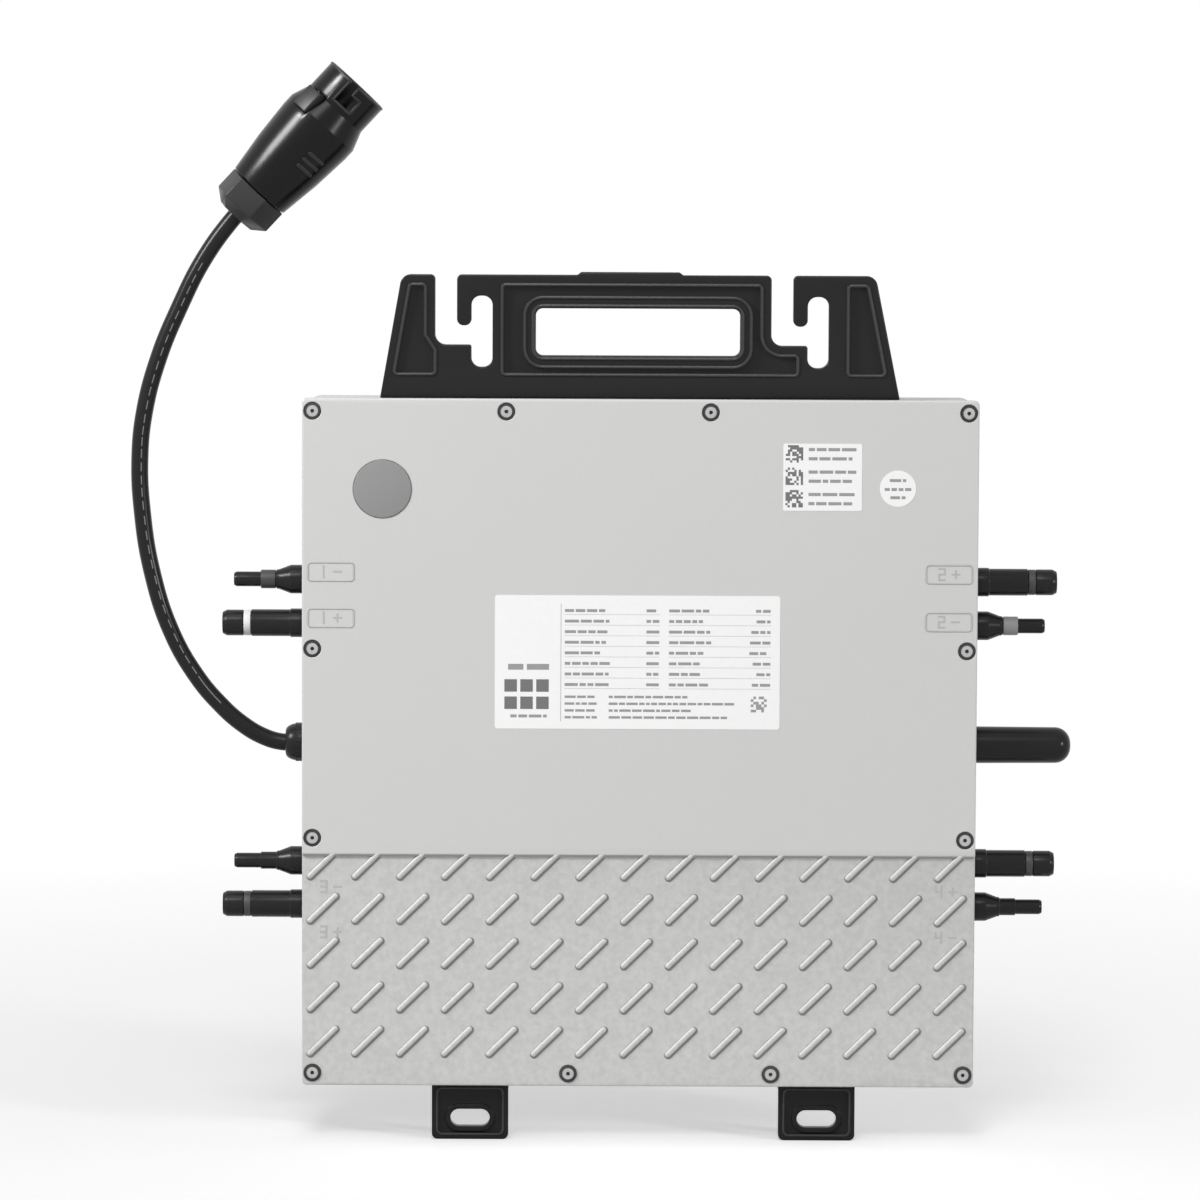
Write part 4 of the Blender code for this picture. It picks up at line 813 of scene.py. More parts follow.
def beads(name, loops, radius, closed=True):
    """Thin round ridges along lines of points in the case's frame."""
    curve = bpy.data.curves.new(name, "CURVE")
    curve.dimensions = "3D"
    curve.bevel_depth = radius
    curve.bevel_resolution = BEAD_STEPS
    curve.use_fill_caps = not closed
    for points in loops:
        loop = curve.splines.new("POLY")
        loop.points.add(len(points) - 1)
        loop.use_cyclic_u = closed
        for knot, point in zip(loop.points, points):
            knot.co = (*(point + SHIFT), 1.0)
    source = new_object(name, curve)
    view = bpy.context.evaluated_depsgraph_get()
    mesh = bpy.data.meshes.new_from_object(source.evaluated_get(view))
    bpy.data.objects.remove(source)
    return new_object(name, mesh)


def pocket_outline(*corners):
    """An outline through corners that share the pockets' radius, unless a corner brings its own."""
    return rounded_outline([(*corner, POCKET_R)[:3] for corner in corners])


left_channel = hook_sides(HOOKS[0])[0]
right_channel, _, right_slot = hook_sides(HOOKS[1])[:3]
field_left, post_left = HOOKS[0] + FIELD_IN, HOOKS[1] + POST_IN
field_right, field_end = right_channel - BORDER, right_slot - BORDER
FIELD = pocket_outline((field_left, POCKET_LOW), (field_left, POCKET_HIGH), (field_right, POCKET_HIGH),
                       (field_right, 0.0180, 0.0085), (field_end, 0.0180), (field_end, POCKET_LOW))
left_end = left_channel - BORDER
LEFT_POST = pocket_outline((-0.1023, POCKET_LOW), (-0.0957, POCKET_HIGH), (left_end, POCKET_HIGH),
                           (left_end, 0.0260), (left_channel, 0.0200), (left_channel, POCKET_LOW))
RIGHT_POST = pocket_outline((post_left, POCKET_LOW), (post_left, POCKET_HIGH), (0.0938, POCKET_HIGH),
                            (0.1013, POCKET_LOW))
RIM_OUTER = rectangle(-0.0481, 0.0456, 0.0131, 0.0418, 0.0076)
RIM_INNER = rectangle(-0.0447, 0.0422, 0.0165, 0.0384, 0.0042)
pockets = []
for outline in (FIELD, LEFT_POST, RIGHT_POST):
    tool = prism(raised(outline), -PAST, HANGER_FRONT + POCKET_DEPTH)
    pockets.append(mesh_object("pocket", tool))
cut(pockets[0], mesh_object("rim", prism(raised(RIM_OUTER), -2 * PAST, 2 * PAST)))
for pocket in pockets:
    cut(hanger, pocket)
ease(hanger, 0.0006)
dress(hanger, BLACK, stands_for=["hanger_bracket"])
bead_edges = (FIELD, LEFT_POST, RIGHT_POST, RIM_OUTER, RIM_INNER)
bead_lines = [at_depth(raised(edge), HANGER_FRONT) for edge in bead_edges]
# The beads take the paler black, a painted highlight.
dress(beads("hanger_beads", bead_lines, HANGER_BEAD), EDGE_HIGHLIGHT)
flange_line = rectangle(FLANGE_LEFT, FLANGE_RIGHT, FLANGE_LOW, FLANGE_LOW + FLANGE_T)
flange = mesh_object("hanger_flange", prism(flange_line, FLANGE_FRONT, FLANGE_BACK))
dress(ease(flange, 0.0006), BLACK)
print("hanger:", len(hanger.data.polygons), "faces")

# %% [markdown]
# The feet are two small angles with a slotted tab. Both come from one drawing, set on two places. A pocket
# in the tab leaves a border and a rim round the slot.

# %% Feet
FOOT_X = (-0.070, 0.075)
FOOT_W, FOOT_H, FOOT_LAP, FOOT_CORNER = 0.032, 0.0237, 0.0002, 0.0025
FOOT_FRONT, FOOT_BACK, FOOT_POCKET = 0.007, 0.012, 0.0008
SLOT_ENDS, FOOT_SLOT_R, SLOT_RIM_R = ((-0.0046, -0.0146), (0.0046, -0.0146)), 0.00365, 0.00585
FOOT_BEAD, FOOT_EASE, FOOT_FLANGE_BACK = 0.0005, 0.0005, 0.029
POCKET = rectangle(-0.0138, 0.0138, -0.0215, -0.0020, 0.0022)
half = FOOT_W / 2
tab_line = rounded_outline(((-half, -FOOT_H, FOOT_CORNER), (-half, FOOT_LAP, 0), (half, FOOT_LAP, 0),
                            (half, -FOOT_H, FOOT_CORNER)))
tab = original(prism(tab_line, FOOT_FRONT, FOOT_BACK))
pocket = original(prism(POCKET, 0, FOOT_FRONT + FOOT_POCKET))
cut(pocket, original(prism(capsule(*SLOT_ENDS, SLOT_RIM_R), -PAST, 2 * PAST)))
cut(tab, pocket)
cut(tab, original(prism(capsule(*SLOT_ENDS, FOOT_SLOT_R), -PAST, 3 * PAST)))
ease(tab, FOOT_EASE)
flange_line = rectangle(-half, half, FOOT_LAP - FLANGE_T, FOOT_LAP)
flange = original(prism(flange_line, FLANGE_FRONT, FOOT_FLANGE_BACK))
cut(tab, ease(flange, FOOT_EASE), "UNION")
# The feet take the darker copy of the bracket black, a painted shade.
for name, x in zip(("foot_left", "foot_right"), FOOT_X):
    twin = new_object("twin", tab.data.copy())
    repeat(name + "_moulding", twin, [Matrix.Translation((x, 0, -COVER_Z))], SHADED_FOOT_BLACK,
           stands_for=[name])
bpy.data.objects.remove(tab)
foot_lines = [at_depth([(x + foot_x, z - COVER_Z) for x, z in POCKET], FOOT_FRONT) for foot_x in FOOT_X]
# The feet's beads take the same paler black, a painted highlight.
dress(beads("foot_beads", foot_lines, FOOT_BEAD), EDGE_HIGHLIGHT)
print("feet:", len(FOOT_X))

# %% [markdown]
# Four larger screws hold the hanger and the feet to the housing. They stand on its top and bottom walls and
# look up and down.

# %% Bracket screws
PAN_R, PAN_SHANK_R, PAN_END, PAN_SEAT, PAN_TOP = 0.0036, 0.0018, -0.0029, 0.0046, 0.0070
PAN_Y, HANGER_SCREW_X = 0.022, 0.085
pan = eased(((0, PAN_END), (PAN_SHANK_R, PAN_END), (PAN_SHANK_R, PAN_SEAT), (PAN_R, PAN_SEAT),
             (PAN_R, PAN_TOP), (0, PAN_TOP)), 0.0011)
pan_screw = original(lathe(pan, 40))
cut(pan_screw, original(rod(0.0018, PAN_TOP - 0.0012, PAN_TOP + 0.0020, 6)))
pan_places = [facing(x, PAN_Y, HOUSING_Z, (0, 0, 1)) for x in (-HANGER_SCREW_X, HANGER_SCREW_X)]
pan_places += [facing(x, PAN_Y, -HOUSING_Z, (0, 0, -1)) for x in FOOT_X]
repeat("bracket_screws", pan_screw, pan_places, STEEL,
       stands_for=["hanger_screw_left", "hanger_screw_right", "foot_screw_left", "foot_screw_right"])

# %% [markdown]
# The module inlets are pairs of sealed connectors: a thick one with a wide bore and a thin one that ends in
# a slim tube. Both are turned parts, so a profile with rounded corners is enough. A soft ring sits in the
# groove, and a plated contact stands in each bore.

# %% Module inlets
HIGH, LOW = (0.0683, 0.0500), (-0.0500, -0.0683)
PORTS = []
for pair, side, heights in ((1, -1, HIGH), (2, 1, HIGH), (3, -1, LOW), (4, 1, LOW)):
    kinds = ("socket", "plug") if side < 0 else ("plug", "socket")
    for height, kind in zip(heights, kinds):
        PORTS.append((f"pv{pair}_{kind}_inlet", kind, wall_place(side, height)))
ROOT = [(0, -0.015), (0.0052, -0.015), (0.0052, 0.0003), (0.0060, 0.0003), (0.0060, 0.0060)]
INLETS = {
    "plug": ROOT + [(0.0056, 0.0064), (0.0056, 0.0225), (0.0048, 0.0225), (0.0048, 0.0258), (0.0054, 0.0258),
                    (0.0054, 0.0327), (0.0045, 0.0345), (0.0040, 0.0345), (0.0040, 0.0145), (0, 0.0145)],
    "socket": ROOT + [(0.0041, 0.0110), (0.0041, 0.0117), (0.0036, 0.0122), (0.0036, 0.0186),
                      (0.0031, 0.0186), (0.0031, 0.0286), (0.0026, 0.0297), (0.0022, 0.0297),
                      (0.0022, 0.0157), (0, 0.0157)],
}
for name, kind, place in PORTS:
    inlet = mesh_object(name + "_body", lathe(eased(INLETS[kind], 0.0004), 56), place)
    dress(inlet, PORT, stands_for=[name])
print("inlets:", len(PORTS))


# %% Rings and contacts of the inlets
def band(inner, outer, low, high, radius, steps):
    """A ring about Z with rounded edges."""
    return original(lathe(eased(((inner, low), (outer, low), (outer, high), (inner, high)), radius), steps))


thick = [place for _, kind, place in PORTS if kind == "plug"]
thin = [place for _, kind, place in PORTS if kind == "socket"]
RING, NECK = (0.0047, 0.0053, 0.0227, 0.0256, 0.0003), (0.0034, 0.0039, 0.0124, 0.0184, 0.0002)
for name, sizes, places, silicone in (
        ("ring_pale", RING, thick[:1], SEAL_PALE), ("rings_dark", RING, thick[1:], SEAL_DARK),
        ("neck_dark", NECK, thin[:1], SEAL_DARK), ("neck_grey", NECK, thin[1:2], SEAL_GREY)):
    repeat(name, band(*sizes, 56), places, silicone)
PIN_R, PIN_LOW, PIN_HIGH = 0.0018, 0.0140, 0.0300
pin = eased(((0, PIN_LOW), (PIN_R, PIN_LOW), (PIN_R, PIN_HIGH), (0, PIN_HIGH)), 0.0006)
repeat("pin_contacts", original(lathe(pin, 32)), thick, BRASS)
repeat("tube_contacts", band(0.0014, 0.0021, 0.0155, 0.0285, 0.0002, 32), thin, BRASS)

# %% [markdown]
# The antenna is a soft sleeve on a threaded jack. The cable gland's nut gets its grip ribs as copies on
# places that stand in a ring, each turned to look outwards.

# %% Antenna and gland nut
STUB_R, STUB_ROOT_R, STUB_LONG, STUB_END_R = 0.0075, 0.0077, 0.0345, 0.0065
JACK_R, JACK_DEEP, WALL_GAP = 0.0043, 0.0063, 0.0003
DOME_SMALL, DOME_R, DOME_LOW, DOME_H = 0.0049, 0.0031, 0.0018, 0.0064
GRIP_COUNT, GRIP_W, GRIP_LOW, GRIP_HIGH, GRIP_CORNER = 18, 0.0008, 0.0007, 0.0040, 0.0003
GRIP_INNER, GRIP_OUTER = 0.0072, 0.0081
quarter = arc(Vector((0, 0)), 1.0, 0.0, math.pi / 2, 16)
stub = [(JACK_R, WALL_GAP), (STUB_ROOT_R, WALL_GAP)]
stub += [(STUB_R - STUB_END_R * (1 - across), STUB_LONG + STUB_END_R * along) for across, along in quarter]
stub += [(0, STUB_LONG + STUB_END_R), (0, JACK_DEEP), (JACK_R, JACK_DEEP)]
antenna = mesh_object("antenna_sleeve", lathe(stub, 72), wall_place(1, 0.0))
dress(antenna, RUBBER, "antenna_stub", ["antenna"])
dome = [(DOME_SMALL + DOME_R * across, DOME_LOW + DOME_H * along) for across, along in quarter]
nut_profile = [(0.0060, WALL_GAP), (0.0077, WALL_GAP), (DOME_SMALL + DOME_R, 0.0006), *dome,
               (0.0042, DOME_LOW + DOME_H), (0.0042, 0.0048), (0.0060, 0.0048)]
gland_nut = mesh_object("gland_nut_body", lathe(nut_profile, 72), GLAND_PLACE)
dress(gland_nut, PORT, "gland_nut", ["ac_gland_nut"])
grip_line = rectangle(-GRIP_W / 2, GRIP_W / 2, GRIP_LOW, GRIP_HIGH, GRIP_CORNER)
grip = ease(original(prism(grip_line, -GRIP_OUTER, -GRIP_INNER)), 0.00015, 2)
turns = [Matrix.Rotation(2 * math.pi * number / GRIP_COUNT, 4, "Z") for number in range(GRIP_COUNT)]
repeat("gland_grips", grip, [GLAND_PLACE @ turn for turn in turns], PORT, "gland_nut")

# %% [markdown]
# The AC plug has a hexagonal rear nut, a swelling body, a sleeve round its mouth with a bayonet keyway, and
# a latch pad. The body is turned, then the window for the latch and the keyway are cut through its wall.

# %% Plug body
FLANK = ((0.0137, 0.0143), (0.0160, 0.0320), (0.0172, 0.0480))
NECK_R, TAIL_R, TAIL = 0.0058, 0.0090, 0.0048
SLEEVE_R, BORE_R, MOUTH, BORE_FLOOR = 0.0143, 0.0121, 0.0740, 0.0440
LATCH_SIDE, KEY_SIDE, NUT_SIDE, BAR_SIDE = (plug_side(turn) for turn in (-38.0, -2.0, -38.0, 31.0))
QUARTER_TURN = Matrix.Rotation(math.pi / 2, 4, "Z")
WINDOW, WINDOW_HALF, WINDOW_IN, PLUG_PAST = (0.0512, 0.0618), 0.0043, 0.0118, 0.036
KEYWAY = ((-0.0018, 0.082), (0.0018, 0.082), (0.0018, 0.064), (-0.0062, 0.064), (-0.0062, 0.0695),
          (-0.0018, 0.0695))
KEYWAY_IN = 0.0115
body_profile = [(NECK_R, TAIL), (TAIL_R, TAIL), (TAIL_R, FLANK[0][1]), *FLANK, (FLANK[2][0], 0.0530),
                (SLEEVE_R, 0.0610), (SLEEVE_R, MOUTH), (BORE_R, MOUTH), (BORE_R, BORE_FLOOR),
                (NECK_R, BORE_FLOOR)]
plug = original(lathe(eased(body_profile, 0.0008), 96))
window = prism(rectangle(WINDOW_IN, PLUG_PAST, *WINDOW), -WINDOW_HALF, WINDOW_HALF)
window.transform(LATCH_SIDE)
cut(plug, original(window))
keyway = prism(KEYWAY, KEYWAY_IN, PLUG_PAST)
keyway.transform(KEY_SIDE @ QUARTER_TURN.inverted())
cut(plug, original(keyway))
ease(plug, 0.0003, 2, 50.0)
plug_body = repeat("plug_body", plug, [PLUG_PLACE], GLOSS, stands_for=["ac_plug_body"])

# %% [markdown]
# The nut is a lathe of six steps with a bore for the cable and one for the body's tail. The latch is a pad
# in its window, and the insert carries three contact holes.

# %% Plug nut, latch and insert
HEXAGON = ((0, 0), (0.0085, 0), (0.0139, 0.0042), (0.0139, 0.0140), (0, 0.0140))
NUT_BORE = ((0, -0.001), (0.0042, -0.001), (0.0042, 0.0045), (0.0093, 0.0045), (0.0093, 0.03), (0, 0.03))
PAD, PAD_IN, PAD_OUT, PAD_HALF = (0.0515, 0.0615), 0.0138, 0.0184, 0.0040
CORE_R, CORE_LOW, CORE_HIGH = 0.0118, 0.0443, 0.0560
HOLE_COUNT, HOLE_R, HOLE_RING, HOLE_LOW, HOLE_HIGH = 3, 0.0022, 0.0065, 0.050, 0.080
hexagon = lathe(HEXAGON, 6)
hexagon.transform(NUT_SIDE)
nut = original(hexagon)
cut(nut, original(lathe(NUT_BORE, 56)))
ease(nut, 0.0016, 5)
plug_nut = repeat("plug_nut_body", nut, [PLUG_PLACE], SATIN, "plug_nut", ["ac_plug_nut"])
pad = prism(rectangle(PAD_IN, PAD_OUT, *PAD), -PAD_HALF, PAD_HALF)
pad.transform(LATCH_SIDE)
pad = ease(original(pad), 0.0006)
latch = repeat("latch_pad", pad, [PLUG_PLACE], SATIN, "plug_latch", ["ac_plug_latch"])
core = original(rod(CORE_R, CORE_LOW, CORE_HIGH, 72))
holes = bmesh.new()
for number in range(HOLE_COUNT):
    hole = rod(HOLE_R, HOLE_LOW, HOLE_HIGH, 32)
    turn = Matrix.Rotation(2 * math.pi * number / HOLE_COUNT, 4, "Z")
    hole.transform(turn @ Matrix.Translation((HOLE_RING, 0, 0)))
    merge(holes, hole)
cut(core, original(holes))
ease(core, 0.0003, 2)
insert = repeat("plug_insert", core, [PLUG_PLACE], PORT, stands_for=["ac_plug_insert"])

# %% [markdown]
# Fine marks on the plug come last: raised bars across its flank, and a thin ridge round the keyway and the
# mouth.

# %% Plug marks
BAR_COUNT, BAR_FIRST, BAR_PITCH = 3, 0.0340, 0.0034
BAR_LONG, BAR_W, BAR_CORNER, BAR_T = 0.0090, 0.0016, 0.0007, 0.0008
bar_line = rectangle(-BAR_LONG / 2, BAR_LONG / 2, -BAR_W / 2, BAR_W / 2, BAR_CORNER)
bar = ease(original(prism(bar_line, -BAR_T / 2, BAR_T / 2)), 0.0003, 2)
bar_places = []
for number in range(BAR_COUNT):
    station = BAR_FIRST + BAR_PITCH * number
    share = (station - FLANK[1][1]) / (FLANK[2][1] - FLANK[1][1])
    reach = FLANK[1][0] + (FLANK[2][0] - FLANK[1][0]) * share
    bar_places.append(PLUG_PLACE @ BAR_SIDE @ Matrix.Translation((reach, 0, station)) @ QUARTER_TURN)
bars = repeat("plug_bars", bar, bar_places, SATIN)

RIM_BEAD, RIM_STEPS, MOUTH_STEPS, MOUTH_GAP = 0.0006, 6, 60, 0.18
RIM_CORNERS = ((-0.0024, 0.0735), (-0.0024, 0.0701), (-0.0068, 0.0701), (-0.0068, 0.0634), (0.0024, 0.0634),
               (0.0024, 0.0735))


def on_sleeve(angle, radius, along):
    """A point on the plug's sleeve, at an angle from the keyway."""
    return PLUG_PLACE @ KEY_SIDE @ Matrix.Rotation(angle, 4, "Z") @ Vector((radius, 0, along))


rim_points = []
for start, end in zip(RIM_CORNERS[:-1], RIM_CORNERS[1:]):
    for step in range(RIM_STEPS + 1):
        across, along = Vector(start).lerp(Vector(end), step / RIM_STEPS)
        rim_points.append(on_sleeve(-across / SLEEVE_R, SLEEVE_R, along))
mouth_points = []
for step in range(MOUTH_STEPS + 1):
    angle = MOUTH_GAP + 2 * (math.pi - MOUTH_GAP) * step / MOUTH_STEPS
    mouth_points.append(on_sleeve(angle, SLEEVE_R - 0.0004, MOUTH - 0.0003))
keyway_rim = beads("keyway_rim", [rim_points, mouth_points], RIM_BEAD, closed=False)
dress(keyway_rim, SATIN)
print("plug marks:", len(bars.data.polygons) + len(keyway_rim.data.polygons), "faces")

# %% [markdown]
# Labels are thin films with print on top. The print here is generic: bars stand for lines of text, and
# squares of random cells stand for codes. Words of random length, from a fixed seed, read as printing
# without saying anything. Fine print is paler than the large signs, because a camera sees it mixed with the
# white between its letters.

# %% Label films
LABEL_T, LABEL_SINK = 0.00012, 0.00004
RATING_LEFT, RATING_TOP, RATING_W, RATING_H, RATING_CORNER = -0.0600, 0.0622, 0.1182, 0.0556, 0.0012
CODE_LEFT, CODE_TOP, CODE_W, CODE_H, CODE_CORNER = 0.0590, 0.1255, 0.0326, 0.0278, 0.0008
SEAL_X, SEAL_Z, SEAL_R = 0.1065, 0.1070, 0.0075
rating_line = rectangle(RATING_LEFT, RATING_LEFT + RATING_W, RATING_TOP - RATING_H, RATING_TOP,
                        RATING_CORNER)
code_line = rectangle(CODE_LEFT, CODE_LEFT + CODE_W, CODE_TOP - CODE_H, CODE_TOP, CODE_CORNER)
seal_line = capsule((SEAL_X, SEAL_Z - 0.00001), (SEAL_X, SEAL_Z + 0.00001), SEAL_R, 32)
label_lines = (rating_line, code_line, seal_line)
films = bmesh.new()
for outline in label_lines:
    prism(outline, -LABEL_T, LABEL_SINK, films)
dress(mesh_object("label_films", films), FILM)
print("labels:", len(label_lines))

# %% Print helpers
INK_T = 0.00004
FINE_TALL, SMALL_TALL = 0.0012, 0.0010
WORD_LENGTHS, WORD_GAP = (1.5, 5.0), 0.6
CELL_SHARE = 0.6
rng = random.Random(11)
sign_print, fine_print = bmesh.new(), bmesh.new()


def flat_bar(shape, left, right, low, high):
    prism(rectangle(left, right, low, high), -LABEL_T - INK_T, -LABEL_T + INK_T / 2, shape)


def words(left, right, middle, tall):
    """A line of generic fine words between two ends. Lengths and gaps are shares of their height."""
    at = left
    while at < right - tall:
        end = min(right, at + rng.uniform(*WORD_LENGTHS) * tall)
        flat_bar(fine_print, at, end, middle - tall / 2, middle + tall / 2)
        at = end + WORD_GAP * tall


def code_cells(shape, left, top, cells, size):
    """A square of random cells, as many across as down."""
    for number in range(cells * cells):
        if rng.random() < CELL_SHARE:
            x, z = left + size * (number % cells), top - size * (number // cells)
            flat_bar(shape, x, x + size, z - size, z)


def rating_words(left, right, drop, tall):
    """Words on the large label, from its left edge and a drop from its top."""
    words(RATING_LEFT + left, RATING_LEFT + right, RATING_TOP - drop, tall)


def rating_bar(shape, left, right, drop, tall):
    """A bar on the large label, from its left edge and a drop from its top."""
    flat_bar(shape, RATING_LEFT + left, RATING_LEFT + right, RATING_TOP - drop - tall, RATING_TOP - drop)


print("print helpers ready")

# %% Print on the large label
TABLE_ROWS, TABLE_DROP, TABLE_PITCH = 8, 0.0063, 0.0044
RULE_DROP, RULE_T, RULES = 0.0016, 0.0001, ((0.0288, 0.0684), (0.0720, 0.1145))
NOTE_ROWS, NOTE_DROP, NOTE_PITCH = 4, 0.0422, 0.00285
SIGN_LEFT, SIGN_DROP, SIGN_SIZE, SIGN_PITCHES = 0.0040, 0.0350, 0.0052, (0.0066, 0.0072)
SIGN_COUNT, SIGNS_ACROSS = 6, 3
for row in range(TABLE_ROWS):
    drop = TABLE_DROP + TABLE_PITCH * row
    spans = ((0.0290, rng.uniform(0.0440, 0.0490)), (0.0628, 0.0681),
             (0.0722, rng.uniform(0.0860, 0.0910)), (rng.uniform(0.1040, 0.1085), 0.1142))
    for left, right in spans:
        rating_words(left, right, drop, FINE_TALL)
    for left, right in RULES:
        rating_bar(fine_print, left, right, drop + RULE_DROP, RULE_T)
for row in range(NOTE_ROWS):
    drop = NOTE_DROP + NOTE_PITCH * row
    rating_words(0.0290, 0.0424, drop, SMALL_TALL)
    rating_words(0.0473, rng.uniform(0.0780, 0.1030), drop, SMALL_TALL)
rating_bar(fine_print, 0.0273, 0.0275, 0.0035, 0.0490)
code_cells(fine_print, RATING_LEFT + 0.1062, RATING_TOP - 0.0418, 6, 0.0011)
rating_words(0.0055, 0.0227, 0.0298, 2 * FINE_TALL)
rating_words(0.0065, 0.0216, 0.0503, FINE_TALL)
for number in range(SIGN_COUNT):
    left = SIGN_LEFT + SIGN_PITCHES[0] * (number % SIGNS_ACROSS)
    drop = SIGN_DROP + SIGN_PITCHES[1] * (number // SIGNS_ACROSS)
    rating_bar(sign_print, left, left + SIGN_SIZE, drop, SIGN_SIZE)
print("large label:", len(fine_print.faces), "faces of fine print")

# %% Print on the small labels
CODE_ROWS, CODE_PITCH, CODE_CELLS, CELL = 3, 0.0093, 8, 0.0009
CODE_TALL, CODE_WORDS = 0.0013, ((0.0302, 0.0018), (0.0286, 0.0056))
SEAL_WORDS = ((0.0034, 0.0034), (-0.0003, 0.0055), (-0.0037, 0.0031))
for row in range(CODE_ROWS):
    top = CODE_TOP - 0.0006 - CODE_PITCH * row
    code_cells(sign_print, CODE_LEFT + 0.0010, top, CODE_CELLS, CELL)
    for right, drop in CODE_WORDS:
        words(CODE_LEFT + 0.0105, CODE_LEFT + right, top - drop, CODE_TALL)
for rise, half in SEAL_WORDS:
    words(SEAL_X - half, SEAL_X + half, SEAL_Z + rise, FINE_TALL)
signs = dress(mesh_object("label_signs", sign_print), INK)
fine = dress(mesh_object("label_print", fine_print), FINE_INK)
print("label print:", len(signs.data.polygons) + len(fine.data.polygons), "faces")

# %% [markdown]
# Beside each inlet the casting carries a shallow frame with the input's number and its sign. A few straight
# strokes are enough to draw each digit, and every stroke stands a little higher than the last where they
# cross.

# %% Port marks
SEGMENTS = {1: "h", 2: "abged", 3: "abgcd", 4: "fgbc"}
STROKES = {"a": (0, 2, 1, 2), "b": (1, 1, 1, 2), "c": (1, 0, 1, 1), "d": (0, 0, 1, 0), "e": (0, 0, 0, 1),
           "f": (0, 1, 0, 2), "g": (0, 1, 1, 1), "h": (0.5, 0, 0.5, 2)}
PEN, MARK_LIFT, MARK_SINK = 0.00038, 0.00005, 0.00005
LIFT_STEP, LIFT_STEPS = 0.000002, 7
DIGIT_IN, DIGIT_TALL, SIGN_IN, SIGN_LONG = 0.0054, 0.0046, 0.0108, 0.0030
FRAME_W, FRAME_H, FRAME_R, FRAME_DEPTH, FRAME_BEAD = 0.0190, 0.0076, 0.0014, 0.00015, 0.00045
AT_LEFT, AT_RIGHT = -0.1375, 0.1185
MARKS = ((1, "-", AT_LEFT, 0.0716), (1, "+", AT_LEFT, 0.0524), (2, "+", AT_RIGHT, 0.0715),
         (2, "-", AT_RIGHT, 0.0517), (3, "-", AT_LEFT, -0.0600), (3, "+", AT_LEFT, -0.0790),
         (4, "+", AT_RIGHT, -0.0612), (4, "-", AT_RIGHT, -0.0804))
mark_shape = bmesh.new()


def stroke(x0, z0, x1, z1, face):
    """A straight stroke of the pen, raised from a face."""
    lift = MARK_LIFT + LIFT_STEP * (len(mark_shape.faces) % LIFT_STEPS)
    line_box = rectangle(min(x0, x1) - PEN, max(x0, x1) + PEN, min(z0, z1) - PEN, max(z0, z1) + PEN)
    prism(line_box, face - lift, face + MARK_SINK, mark_shape)


def digit(number, left, low, tall, face):
    half = tall / 2
    for name in SEGMENTS[number]:
        x0, z0, x1, z1 = STROKES[name]
        stroke(left + x0 * half, low + z0 * half, left + x1 * half, low + z1 * half, face)


frames = []
for number, sign, left, middle in MARKS:
    framed = middle > TREAD_TOP
    face = 0.0 if framed else TREAD_DEPTH
    digit(number, left + DIGIT_IN, middle - DIGIT_TALL / 2, DIGIT_TALL, face)
    start, reach = left + SIGN_IN, SIGN_LONG / 2
    stroke(start, middle, start + SIGN_LONG, middle, face)
    if sign == "+":
        stroke(start + reach, middle - reach, start + reach, middle + reach, face)
    if framed:
        frame_line = rectangle(left, left + FRAME_W, middle - FRAME_H / 2, middle + FRAME_H / 2, FRAME_R)
        frames.append(at_depth(frame_line, FRAME_DEPTH))
marks = dress(mesh_object("port_marks", mark_shape), MARK)
dress(beads("port_frames", frames, FRAME_BEAD), MARK)
print("port marks:", len(marks.data.polygons), "faces")

# %% [markdown]
# What stays CAD is inside the case or nearly hidden: the seal, the jack, the gland's sleeve and the
# electronics. Each gets the material of its record slot.

# %% CAD materials
BY_SLOT = {"case_metal": CAST, "seal_rubber": SEAL, "screw_steel": STEEL, "bracket_plastic": BLACK,
           "connector_plastic": PORT, "plug_plastic": GLOSS, "cable_rubber": RUBBER,
           "antenna_rubber": RUBBER, "contact_brass": BRASS, "vent_membrane": VENT,
           "circuit_board": BOARD, "spreader_metal": SPREADER, "ferrite": FERRITE,
           "capacitor_sleeve": SLEEVE, "component_plastic": COMPONENT}
SLOT_OF = {entry["node"]: entry["material_slot"] for entry in frame["record"]["subparts"]}
for name, node in NODES.items():
    node.data.materials.clear()
    node.data.materials.append(BY_SLOT[SLOT_OF[name]])
print("CAD nodes dressed:", len(NODES))

# %% [markdown]
# The lead carries a line of small print. Plain dashes stand for it, laid along the middle of the curve on
# the side that faces forwards.

# %% Cable print and dressing
DASH_LONG, DASH_TALL, DASH_CORNER, DASH_T = 0.0038, 0.00044, 0.0002, 0.00004
PRINT_SIDE = Vector((0.25, -1.0, 0.15))
FIRST_KNOT, LAST_KNOT, SPAN_POINTS = 4, -2, 5


def dash_places():
    """Places along the middle of the cable, with the X axis along it and the Y axis into it."""
    places = []
    knots = list(spline.bezier_points)[FIRST_KNOT:LAST_KNOT]
    for here, after in zip(knots[:-1], knots[1:]):
        points = interpolate_bezier(here.co, here.handle_right, after.handle_left, after.co, SPAN_POINTS)
        for start, end in zip(points[:-1], points[1:]):
            along = (end - start).normalized()
            inwards = -(PRINT_SIDE - along * PRINT_SIDE.dot(along)).normalized()
            turn = Matrix((along, inwards, along.cross(inwards))).transposed().to_4x4()
            places.append(Matrix.Translation((start + end) / 2 - inwards * CABLE_R - SHIFT) @ turn)
    return places


dress(cable, RUBBER, stands_for=["ac_cable"])
dash_line = rectangle(-DASH_LONG / 2, DASH_LONG / 2, -DASH_TALL / 2, DASH_TALL / 2, DASH_CORNER)
dash = original(prism(dash_line, -DASH_T / 2, DASH_T / 2))
dashes = repeat("cable_print", dash, dash_places(), CABLE_INK)

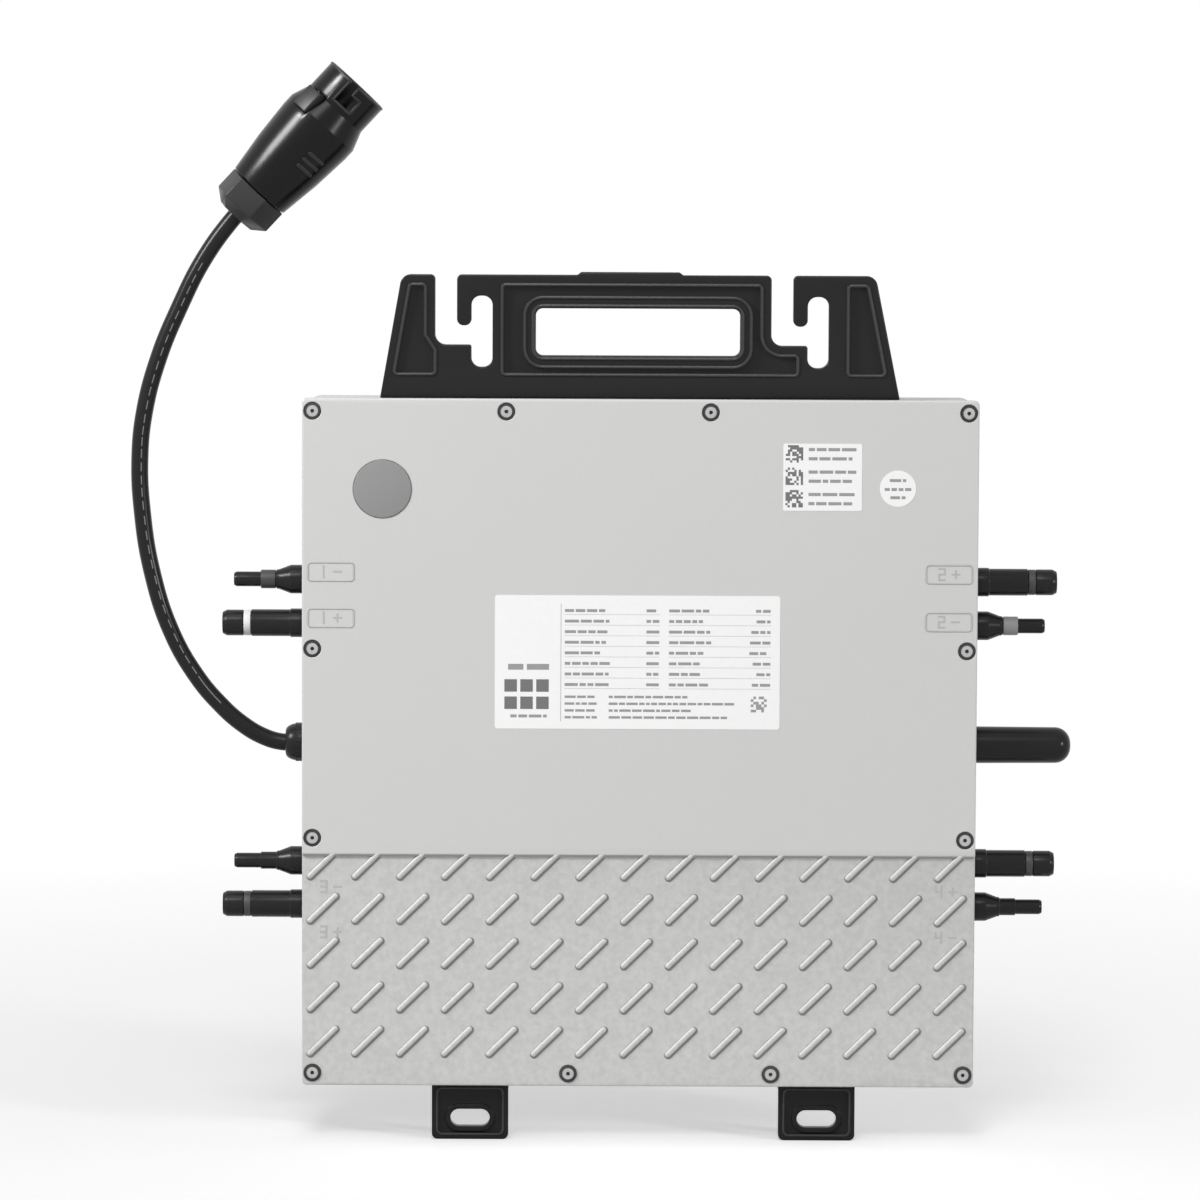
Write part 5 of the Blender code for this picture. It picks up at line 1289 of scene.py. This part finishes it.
# %% [markdown]
# The stage is a pale floor under the feet that fades into a white surround, as in a product picture. The
# floor is lifted to nearly white where it is seen, and it keeps the shadow.


# %% Floor
FLOOR_HALF, FLOOR_PAINT, FLOOR_LIFT = 1.5, (0.95, 0.95, 0.95, 1.0), 0.38
FLOOR_FADE = {"From Min": 0.25, "From Max": 0.90}


def background_rays(tree):
    """A value of one for rays that see the background: direct, or by way of a shiny or clear surface."""
    rays = add_node(tree, "ShaderNodeLightPath")
    direct = add_node(tree, "ShaderNodeMath", operation="MAXIMUM")
    either = add_node(tree, "ShaderNodeMath", operation="MAXIMUM")
    wire(tree, (rays, "Is Camera Ray", direct, 0), (rays, "Is Glossy Ray", direct, 1),
         (direct, "Value", either, 0), (rays, "Is Transmission Ray", either, 1))
    return either


def floor_material():
    """White paint with a lift, which turns clear away from the middle."""
    made = bpy.data.materials.new("floor")
    made.use_nodes = True
    tree = made.node_tree
    tree.nodes.clear()
    coords = add_node(tree, "ShaderNodeTexCoord")
    away = add_node(tree, "ShaderNodeVectorMath", operation="LENGTH")
    fade = add_node(tree, "ShaderNodeMapRange", FLOOR_FADE)
    paint = add_node(tree, "ShaderNodeBsdfDiffuse", {"Color": FLOOR_PAINT})
    lift = add_node(tree, "ShaderNodeMath", {1: FLOOR_LIFT}, operation="MULTIPLY")
    shine = add_node(tree, "ShaderNodeEmission")
    both = add_node(tree, "ShaderNodeAddShader")
    clear = add_node(tree, "ShaderNodeBsdfTransparent")
    mixed = add_node(tree, "ShaderNodeMixShader")
    out = add_node(tree, "ShaderNodeOutputMaterial")
    wire(tree, (coords, "Object", away, 0), (away, "Value", fade, "Value"),
         (background_rays(tree), "Value", lift, 0), (lift, "Value", shine, "Strength"),
         (paint, "BSDF", both, 0), (shine, "Emission", both, 1), (fade, "Result", mixed, 0),
         (both, "Shader", mixed, 1), (clear, "BSDF", mixed, 2), (mixed, "Shader", out, "Surface"))
    return made


ground = bmesh.new()
bmesh.ops.create_grid(ground, x_segments=1, y_segments=1, size=FLOOR_HALF)
floor = new_object("floor", mesh_of("floor", ground))
floor.location = (0, 0, GROUND_Z + SHIFT.z)
floor.data.materials.append(floor_material())
print("floor at", round(floor.location.z, 4))

# %% [markdown]
# A large lamp stands in front and above, and a weak one nearer overhead softens it. A smaller lamp at the
# left draws the streaks on the black pieces and leaves out the floor. Another beside it lights the plug's
# body alone, and one at the right fills the shade. Light linking keeps a lamp to a piece, or off it.


# %% Light
TO_THE_LEFT = Vector((-0.08, 0.0, 0.02))
SURROUND, SEEN_SURROUND = 0.30, 1.0
LAMPS = {
    "key": ((-0.25, -2.10, 1.90), AIM, 1.0, 20.5),
    "side": ((-1.126, -0.60, 0.682), TO_THE_LEFT, 0.44, 18.5),
    "sleeve": ((-0.930, -0.603, 0.912), TO_THE_LEFT, 0.28, 16.0),
    "fill": ((2.0, -1.4, 0.3), AIM, 0.35, 17.0),
    "top": ((-0.2, -0.7, 1.6), AIM, 0.8, 3.0),
}


def lamp(name, place, aim, size, power):
    """A round lamp of a size in metres and a power in watts, turned to its aim."""
    data = bpy.data.lights.new(name, "AREA")
    data.shape = "DISK"
    data.size = size
    data.energy = power
    made = new_object(name, data)
    made.location = place
    made.rotation_euler = (aim - Vector(place)).to_track_quat("-Z", "Y").to_euler()
    return made


def light_linking(name, piece, state):
    """Keeps a lamp to one piece, or keeps it off that piece."""
    group = bpy.data.collections.new("linked to the " + name + " lamp")
    group.objects.link(piece)
    lamps[name].light_linking.receiver_collection = group
    group.collection_objects[0].light_linking.link_state = state


lamps = {name: lamp(name, *given) for name, given in LAMPS.items()}
light_linking("side", floor, "EXCLUDE")
light_linking("sleeve", plug_body, "INCLUDE")
world = bpy.data.worlds.new("surround")
bpy.context.scene.world = world
world.use_nodes = True
backdrop = world.node_tree.nodes["Background"]
backdrop.inputs["Color"].default_value = (1.0, 1.0, 1.0, 1.0)
level = add_node(world.node_tree, "ShaderNodeMapRange", {"To Min": SURROUND, "To Max": SEEN_SURROUND})
wire(world.node_tree, (background_rays(world.node_tree), "Value", level, "Value"),
     (level, "Result", backdrop, "Strength"))
print("lamps:", len(lamps))
